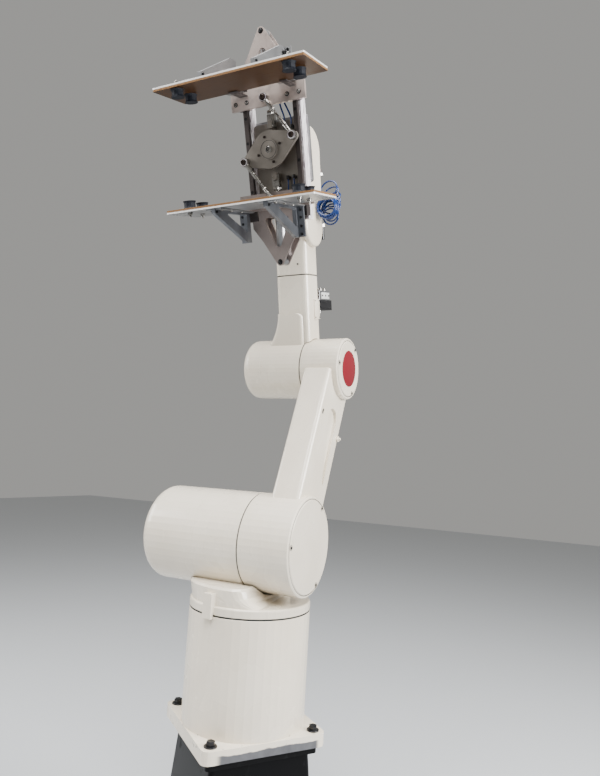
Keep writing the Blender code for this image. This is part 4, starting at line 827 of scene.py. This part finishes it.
def seal_ring(name, body, matrix, radius, sink, width):
    """A dark band at the bottom of a joint's groove."""
    shape = bmesh.new()
    outer = radius - sink
    ring(shape, outer - SEAL_DEPTH, outer, -width / 2, width / 2, 96)
    add_piece(name, shape, body, "gap", matrix)


drum_way = Matrix.Rotation(math.pi / 2, 4, "Y")
seal_ring("turn_seal", "base", place((0.0, 0.0, TURN_SEAM)), COLUMN_RADIUS, *TURN_SEAL)
seal_ring("shoulder_seal", "shoulder",
          place(SHOULDER) @ Matrix.Translation((SHOULDER_SEAL_SIDE, 0, 0)) @ drum_way,
          SHOULDER_RADIUS, *SHOULDER_SEAL)
seal_ring("elbow_seal", "forearm", place(ELBOW) @ Matrix.Translation((ELBOW_SEAL_SIDE, 0, 0)) @ drum_way,
          ELBOW_RADIUS, *ELBOW_SEAL)
roll_seal = bmesh.new()
outline_band(roll_seal, rounded_outline(*ROLL_SEAM_OUTLINE), *ROLL_SEAM_LEVELS)
add_piece("wrist_roll_seal", roll_seal, "forearm", "gap", FOREARM_PLACE)

# End caps: the dark line round each and three screws in notches, the notches' shade painted as flat
# near-black rings
for name, matrix, (face, cap, screw_ring) in (("shoulder_cap", ARM_PLACE, SHOULDER_CAP),
                                              ("elbow_cap", ELBOW_ARM_PLACE, ELBOW_CAP)):
    line = bmesh.new()
    ring(line, cap + CAP_LINE_INNER, cap + CAP_LINE_OUTER, face - CAP_LINE_FOOT, face - CAP_LINE_TOP, 96)
    add_piece(name + "_line", line, "upper_arm", "gap", matrix @ drum_way)
    notches = bmesh.new()
    screws = bmesh.new()
    for angle in CAP_SCREW_ANGLES:
        turn = Matrix.Rotation(math.radians(angle), 4, "X")
        spot = matrix @ turn @ facing((face, 0.0, screw_ring), (1, 0, 0))
        ring(notches, *NOTCH_SHADE_RING, 24, spot)
        socket_screw(screws, spot, *CAP_SCREW)
    add_piece(name + "_notch_shade", notches, "upper_arm", "hole")
    add_piece(name + "_screws", screws, "upper_arm", "bolt_black")

# Red disc on the elbow cap
disc = lathe(bmesh.new(), DISC_SHAPE, 72)
add_piece("elbow_red_disc", disc, "upper_arm", "red",
          ELBOW_ARM_PLACE @ Matrix.Translation((RED_DISC_SIDE, 0, 0)) @ drum_way)

# Upper arm: a slot with a screw, the slot's shade painted as a flat near-black band, and the small boss on
# the side face
slot = bmesh.new()
outline_band(slot, rounded_outline(*SLOT_OUTLINE), 0.0, SLOT_THICKNESS,
             ARM_PLACE @ facing(SLOT_PLACE, (1, 0, 0)) @ Matrix.Rotation(math.pi / 2, 4, "Z"))
add_piece("beam_slot", slot, "upper_arm", "hole")
slot_screw = bmesh.new()
socket_screw(slot_screw, ARM_PLACE @ facing(SLOT_SCREW_PLACE, (1, 0, 0)), *SLOT_SCREW)
add_piece("beam_slot_screw", slot_screw, "upper_arm", "plated")
boss = lathe(bmesh.new(), BOSS_SHAPE, 24)
add_piece("beam_boss", boss, "upper_arm", "cream_paint",
          ARM_PLACE @ facing(BOSS_PLACE, (1, 0, 0)))

# Forearm: the thin side cover, its screws and the valve's small fittings
cover = bmesh.new()
block(cover, *COVER_CORNERS, FOREARM_PLACE, COVER_BEVEL)
add_piece("forearm_side_cover", cover, "forearm", "cream_paint")
cover_screws = bmesh.new()
for depth in COVER_SCREW_DEPTHS:
    for height in COVER_SCREW_RISES:
        spot = FOREARM_PLACE @ facing((COVER_CORNERS[1][0], depth, height), (1, 0, 0))
        socket_screw(cover_screws, spot, *COVER_SCREW)
socket_screw(cover_screws, FOREARM_PLACE @ facing(FRONT_SCREW_PLACE, (0, -1, 0)), *FRONT_SCREW)
add_piece("forearm_screws", cover_screws, "forearm", "bolt_black")
fittings = bmesh.new()
for spot in VALVE_TOP_FITTINGS:
    lathe(fittings, VALVE_FITTING_SHAPE, 12, FOREARM_PLACE @ facing(spot, (0, 0, 1)))
lathe(fittings, VALVE_FITTING_SHAPE, 12, FOREARM_PLACE @ facing(VALVE_LOW_FITTING, (0, 0, -1)))
add_piece("valve_fittings", fittings, "forearm", "plated")
valve_trim = bmesh.new()
for low, high in VALVE_STRIPS:
    block(valve_trim, low, high, FOREARM_PLACE, STRIP_BEVEL)
add_piece("valve_trim", valve_trim, "forearm", "black_plastic")
valve_side = bmesh.new()
block(valve_side, *VALVE_PLATE_CORNERS, FOREARM_PLACE, STRIP_BEVEL)
add_piece("valve_side_plate", valve_side, "forearm", "clear_white")
valve_screws = bmesh.new()
for depth in VALVE_SCREW_DEPTHS:
    spot = FOREARM_PLACE @ facing((VALVE_PLATE_CORNERS[1][0], depth, VALVE_SCREW_RISE), (1, 0, 0))
    socket_screw(valve_screws, spot, *VALVE_SCREW)
add_piece("valve_side_screws", valve_screws, "forearm", "bolt_black")

# Nuts on the coiled hose's two fittings
nuts = bmesh.new()
for start, end in HOSE_NUT_SPANS:
    lathe(nuts, [(0.0, start), (HOSE_NUT_RADIUS, start), (HOSE_NUT_RADIUS, end), (0.0, end)], 6,
          FOREARM_PLACE @ Matrix.Translation((FITTING_SIDE, FITTING_DEPTH, 0.0)))
add_piece("hose_nuts", nuts, "wrist_tube", "plated")


def clamp_front(across, back, height):
    """A place on the clamp that faces forward."""
    return CLAMP_PLACE @ facing((across, back, height), (0, -1, 0))


# Crank: the two pin bolts, the bolt in the hub with its lines, and the hub's screws
crank_bolts = bmesh.new()
for eye in (1, -1):
    spot = clamp_front(eye * EYE_SIDE, EYE_FRONT, eye * EYE_RISE)
    pin_head(crank_bolts, spot, *CRANK_PIN_BOLT)
add_piece("crank_pin_bolts", crank_bolts, "crank", "brown_bolt")
hub = bmesh.new()
lathe(hub, HUB_BOLT_SHAPE, 32, clamp_front(0, 0, 0))
add_piece("crank_hub_bolt", hub, "crank", "plated")
hub_line = bmesh.new()
ring(hub_line, *HUB_LINE_RING, 72, clamp_front(0, 0, 0))
ring(hub_line, *HUB_BOLT_RING, 24, clamp_front(0, 0, 0))
add_piece("crank_hub_line", hub_line, "crank", "gap")
hub_screws = bmesh.new()
for turn in HUB_SCREW_TURNS:
    across = HUB_SCREW_RING * math.cos(math.radians(turn))
    height = HUB_SCREW_RING * math.sin(math.radians(turn))
    socket_screw(hub_screws, clamp_front(across, 0.0, height), *FLANGE_SCREW)
add_piece("crank_hub_screws", hub_screws, "crank", "brown_bolt")


def add_carriage_screws(word, side):
    """Screws on a jaw's crossbar, flanges, web and brackets, and the upper jaw's knob."""
    bolts = bmesh.new()
    heads = bmesh.new()
    for across in CROSSBAR_SCREW_SIDES:
        spot = clamp_front(across, 0.0, side * CROSSBAR_SCREW_RISE)
        ring(bolts, *CROSSBAR_RING, 24, spot)
        socket_screw(heads, spot, *CAP_SCREW)
    add_piece(word + "_crossbar_screws", heads, word + "_jaw", "plated")
    for across in FLANGE_SIDES:
        for height in FLANGE_SCREW_RISES:
            socket_screw(bolts, clamp_front(across, FLANGE_DEPTH, side * height), *FLANGE_SCREW)
    for back, direction in WEB_FACES:
        spot = CLAMP_PLACE @ facing((0.0, back, side * WEB_TIP_RISE), (0, direction, 0))
        lathe(bolts, WEB_BOLT_SHAPE, 20, spot)
    for across in BRACKET_SCREW_SIDES:
        spot = CLAMP_PLACE @ facing((across, BRACKET_SCREW_DEPTH, side * BRACKET_SCREW_RISE), (1, 0, 0))
        socket_screw(bolts, spot, *BRACKET_SCREW)
    if word == "upper":
        lathe(bolts, KNOB_SHAPE, 20, CLAMP_PLACE @ facing(KNOB_PLACE, (1, 0, 0)))
    add_piece(word + "_jaw_bolts", bolts, word + "_jaw", "bolt_black")


def add_link_pin(word, side):
    """The bolt that holds a link's far eye on its jaw."""
    pin = bmesh.new()
    pin_head(pin, clamp_front(0.0, EYE_FRONT, side * LINK_PIN_RISE), *LINK_PIN_BOLT)
    add_piece(word + "_link_pin", pin, word + "_jaw", "brown_bolt")


def add_plate_bars(word, side):
    """Two flat bars on the gripping face of a jaw's plate, the brackets' flanges, coloured dark rail steel as
    painted shade under the plate.
    """
    bars = bmesh.new()
    low, high = sorted(side * level for level in BAR_LEVELS)
    for inner, outer in BAR_SPANS:
        block(bars, (inner, BAR_DEPTHS[0], low), (outer, BAR_DEPTHS[1], high), CLAMP_PLACE, SHEET_BEVEL)
    # Painted shade: the dark rail steel stands for the aluminium flanges in the plate's shadow.
    add_piece(word + "_shaded_flange_bars", bars, word + "_jaw", "dark_steel")


def add_cylinder_ports(word, side):
    """The ports on the side of a jaw's air cylinder."""
    ports = bmesh.new()
    for across, height in CYLINDER_PORTS:
        spot = CLAMP_PLACE @ facing((across, CYLINDER_DEPTH, side * height), (1, 0, 0))
        lathe(ports, PORT_SHAPE, 6, spot)
    add_piece(word + "_cylinder_ports", ports, word + "_jaw", "plated")


def add_fork_bolt(word, side):
    """The bolt through a cylinder rod's fork, and the lock nut on the rod."""
    fork = bmesh.new()
    lathe(fork, FORK_BOLT_SHAPE, 20, clamp_front(0.0, FORK_BOLT_DEPTH, side * FORK_BOLT_RISE))
    low, high = sorted(side * level for level in LOCK_NUT_SPAN)
    nut = [(LOCK_NUT_BORE, low), (LOCK_NUT_FACE, low), (LOCK_NUT_CORNER, low + LOCK_NUT_CHAMFER),
           (LOCK_NUT_CORNER, high - LOCK_NUT_CHAMFER), (LOCK_NUT_FACE, high), (LOCK_NUT_BORE, high)]
    lathe(fork, nut, 6, CLAMP_PLACE @ Matrix.Translation((0.0, CYLINDER_DEPTH, 0.0)))
    add_piece(word + "_fork_bolt", fork, "clamp_frame", "plated")


def add_hose_elbows(word, side):
    """An elbow with its nut where each clamp hose starts, and a tip where it ends."""
    elbows = bmesh.new()
    for name, *points in CLAMP_HOSES:
        if name.startswith(word):
            start, end = Vector(points[0]), Vector(points[-1])
            foot = start - Vector((0, 0, side * ELBOW_LENGTH))
            lathe(elbows, ELBOW_SHAPE, 18, CLAMP_PLACE @ facing(foot, (0, 0, side)))
            lathe(elbows, ELBOW_NUT_SHAPE, 6,
                  clamp_front(start.x, ELBOW_NUT_DEPTH, start.z - side * ELBOW_LENGTH / 2))
            tip = end - Vector((0, 0, side * HOSE_TIP_SINK))
            lathe(elbows, HOSE_TIP_SHAPE, 16, CLAMP_PLACE @ facing(tip, (0, 0, side)))
    add_piece(word + "_hose_elbows", elbows, "clamp_frame", "black_plastic")


def add_bracket_feet(word, side):
    """The flat feet of a jaw's brackets, with their screws, and the buffers' bolts through the plate."""
    feet = bmesh.new()
    low, high = sorted(side * level for level in FOOT_LEVELS)
    for inner, outer in FOOT_SPANS:
        block(feet, (inner, FOOT_DEPTHS[0], low), (outer, FOOT_DEPTHS[1], high), CLAMP_PLACE, SHEET_BEVEL)
    add_piece(word + "_bracket_feet", feet, word + "_jaw", "aluminium")
    foot_bolts = bmesh.new()
    for across in FOOT_SCREW_SIDES:
        for back in FOOT_SCREW_DEPTHS:
            spot = CLAMP_PLACE @ facing((across, back, side * FOOT_LEVELS[1]), (0, 0, side))
            socket_screw(foot_bolts, spot, *FOOT_SCREW)
    for across in BUFFER_SIDES:
        for back in BUFFER_DEPTHS:
            spot = CLAMP_PLACE @ facing((across, back, side * BUFFER_BOLT_FOOT), (0, 0, side))
            lathe(foot_bolts, BUFFER_BOLT_SHAPE, 12, spot)
    add_piece(word + "_plate_bolts", foot_bolts, word + "_jaw", "plated")


def add_link_trim(word, side):
    """A link's bright rings round its two eyes, and the shanks and lock nuts between them."""
    rings = bmesh.new()
    for across, height in ((side * EYE_SIDE, side * EYE_RISE), (0.0, side * LINK_PIN_RISE)):
        ring(rings, *ROD_END_RING, 28, clamp_front(across, 0.0, height))
    add_piece(word + "_rod_end_rings", rings, word + "_link", "bright_steel")
    shanks = bmesh.new()
    crank_eye = Vector((side * EYE_SIDE, LINK_DEPTH, side * EYE_RISE))
    jaw_eye = Vector((0.0, LINK_DEPTH, side * LINK_PIN_RISE))
    for eye, far in ((crank_eye, jaw_eye), (jaw_eye, crank_eye)):
        way = CLAMP_PLACE @ facing(eye, far - eye)
        lathe(shanks, SHANK_SHAPE, 24, way)
        lathe(shanks, SHANK_NUT_SHAPE, 6, way)
    add_piece(word + "_link_shanks", shanks, word + "_link", "plated")


# Upper and lower jaw, with the rods and links that drive them
for word, side in (("upper", 1), ("lower", -1)):
    add_carriage_screws(word, side)
    add_link_pin(word, side)
    add_plate_bars(word, side)
    add_cylinder_ports(word, side)
    add_fork_bolt(word, side)
    add_hose_elbows(word, side)
    add_bracket_feet(word, side)
    add_link_trim(word, side)

# Guide rails: the counterbores of their screws, their shade painted as flat near-black discs
rail_holes = bmesh.new()
for across in (-RAIL_SIDE, RAIL_SIDE):
    for step in RAIL_HOLE_STEPS:
        spot = clamp_front(across, RAIL_FACE, RAIL_HOLE_RISE - RAIL_HOLE_PITCH * step)
        lathe(rail_holes, RAIL_HOLE_SHAPE, 20, spot)
add_piece("rail_counterbore_shade", rail_holes, "clamp_frame", "hole")


def add_lamp(name, spot, aim, size, power):
    """A soft square lamp that points at an aim."""
    light = bpy.data.lights.new(name, "AREA")
    light.energy = power
    light.size = size
    lamp = bpy.data.objects.new(name, light)
    way = (Vector(aim) - Vector(spot)).to_track_quat("-Z", "Y").to_matrix().to_4x4()
    lamp.matrix_world = Matrix.Translation(spot) @ way
    bpy.context.scene.collection.objects.link(lamp)


def add_room():
    """The pale floor, the even light of the room and its three lamps."""
    mesh = bpy.data.meshes.new("floor")
    half = FLOOR_HALF_WIDTH
    corners = [(-half, -half, 0), (half, -half, 0), (half, half, 0), (-half, half, 0)]
    mesh.from_pydata(corners, [], [(0, 1, 2, 3)])
    floor_coat = Coat("pale_floor", (0.58, 0.60, 0.62), 0.55)
    mesh.materials.append(floor_coat.material)
    floor = bpy.data.objects.new("floor", mesh)
    bpy.context.scene.collection.objects.link(floor)
    world = bpy.data.worlds.new("room")
    bpy.context.scene.world = world
    world.use_nodes = True
    background = world.node_tree.nodes["Background"]
    background.inputs["Color"].default_value = ROOM_COLOUR
    background.inputs["Strength"].default_value = ROOM_LIGHT
    add_lamp("ceiling_lamp", (0.4, -1.3, 4.2), (0.0, 0.0, 1.2), 2.6, 330.0)
    add_lamp("side_lamp", (-3.2, -1.6, 2.8), (0.0, 0.0, 1.4), 1.8, 130.0)
    add_lamp("right_lamp", (3.2, 0.2, 2.4), (0.0, 0.0, 1.4), 1.6, 240.0)


add_room()
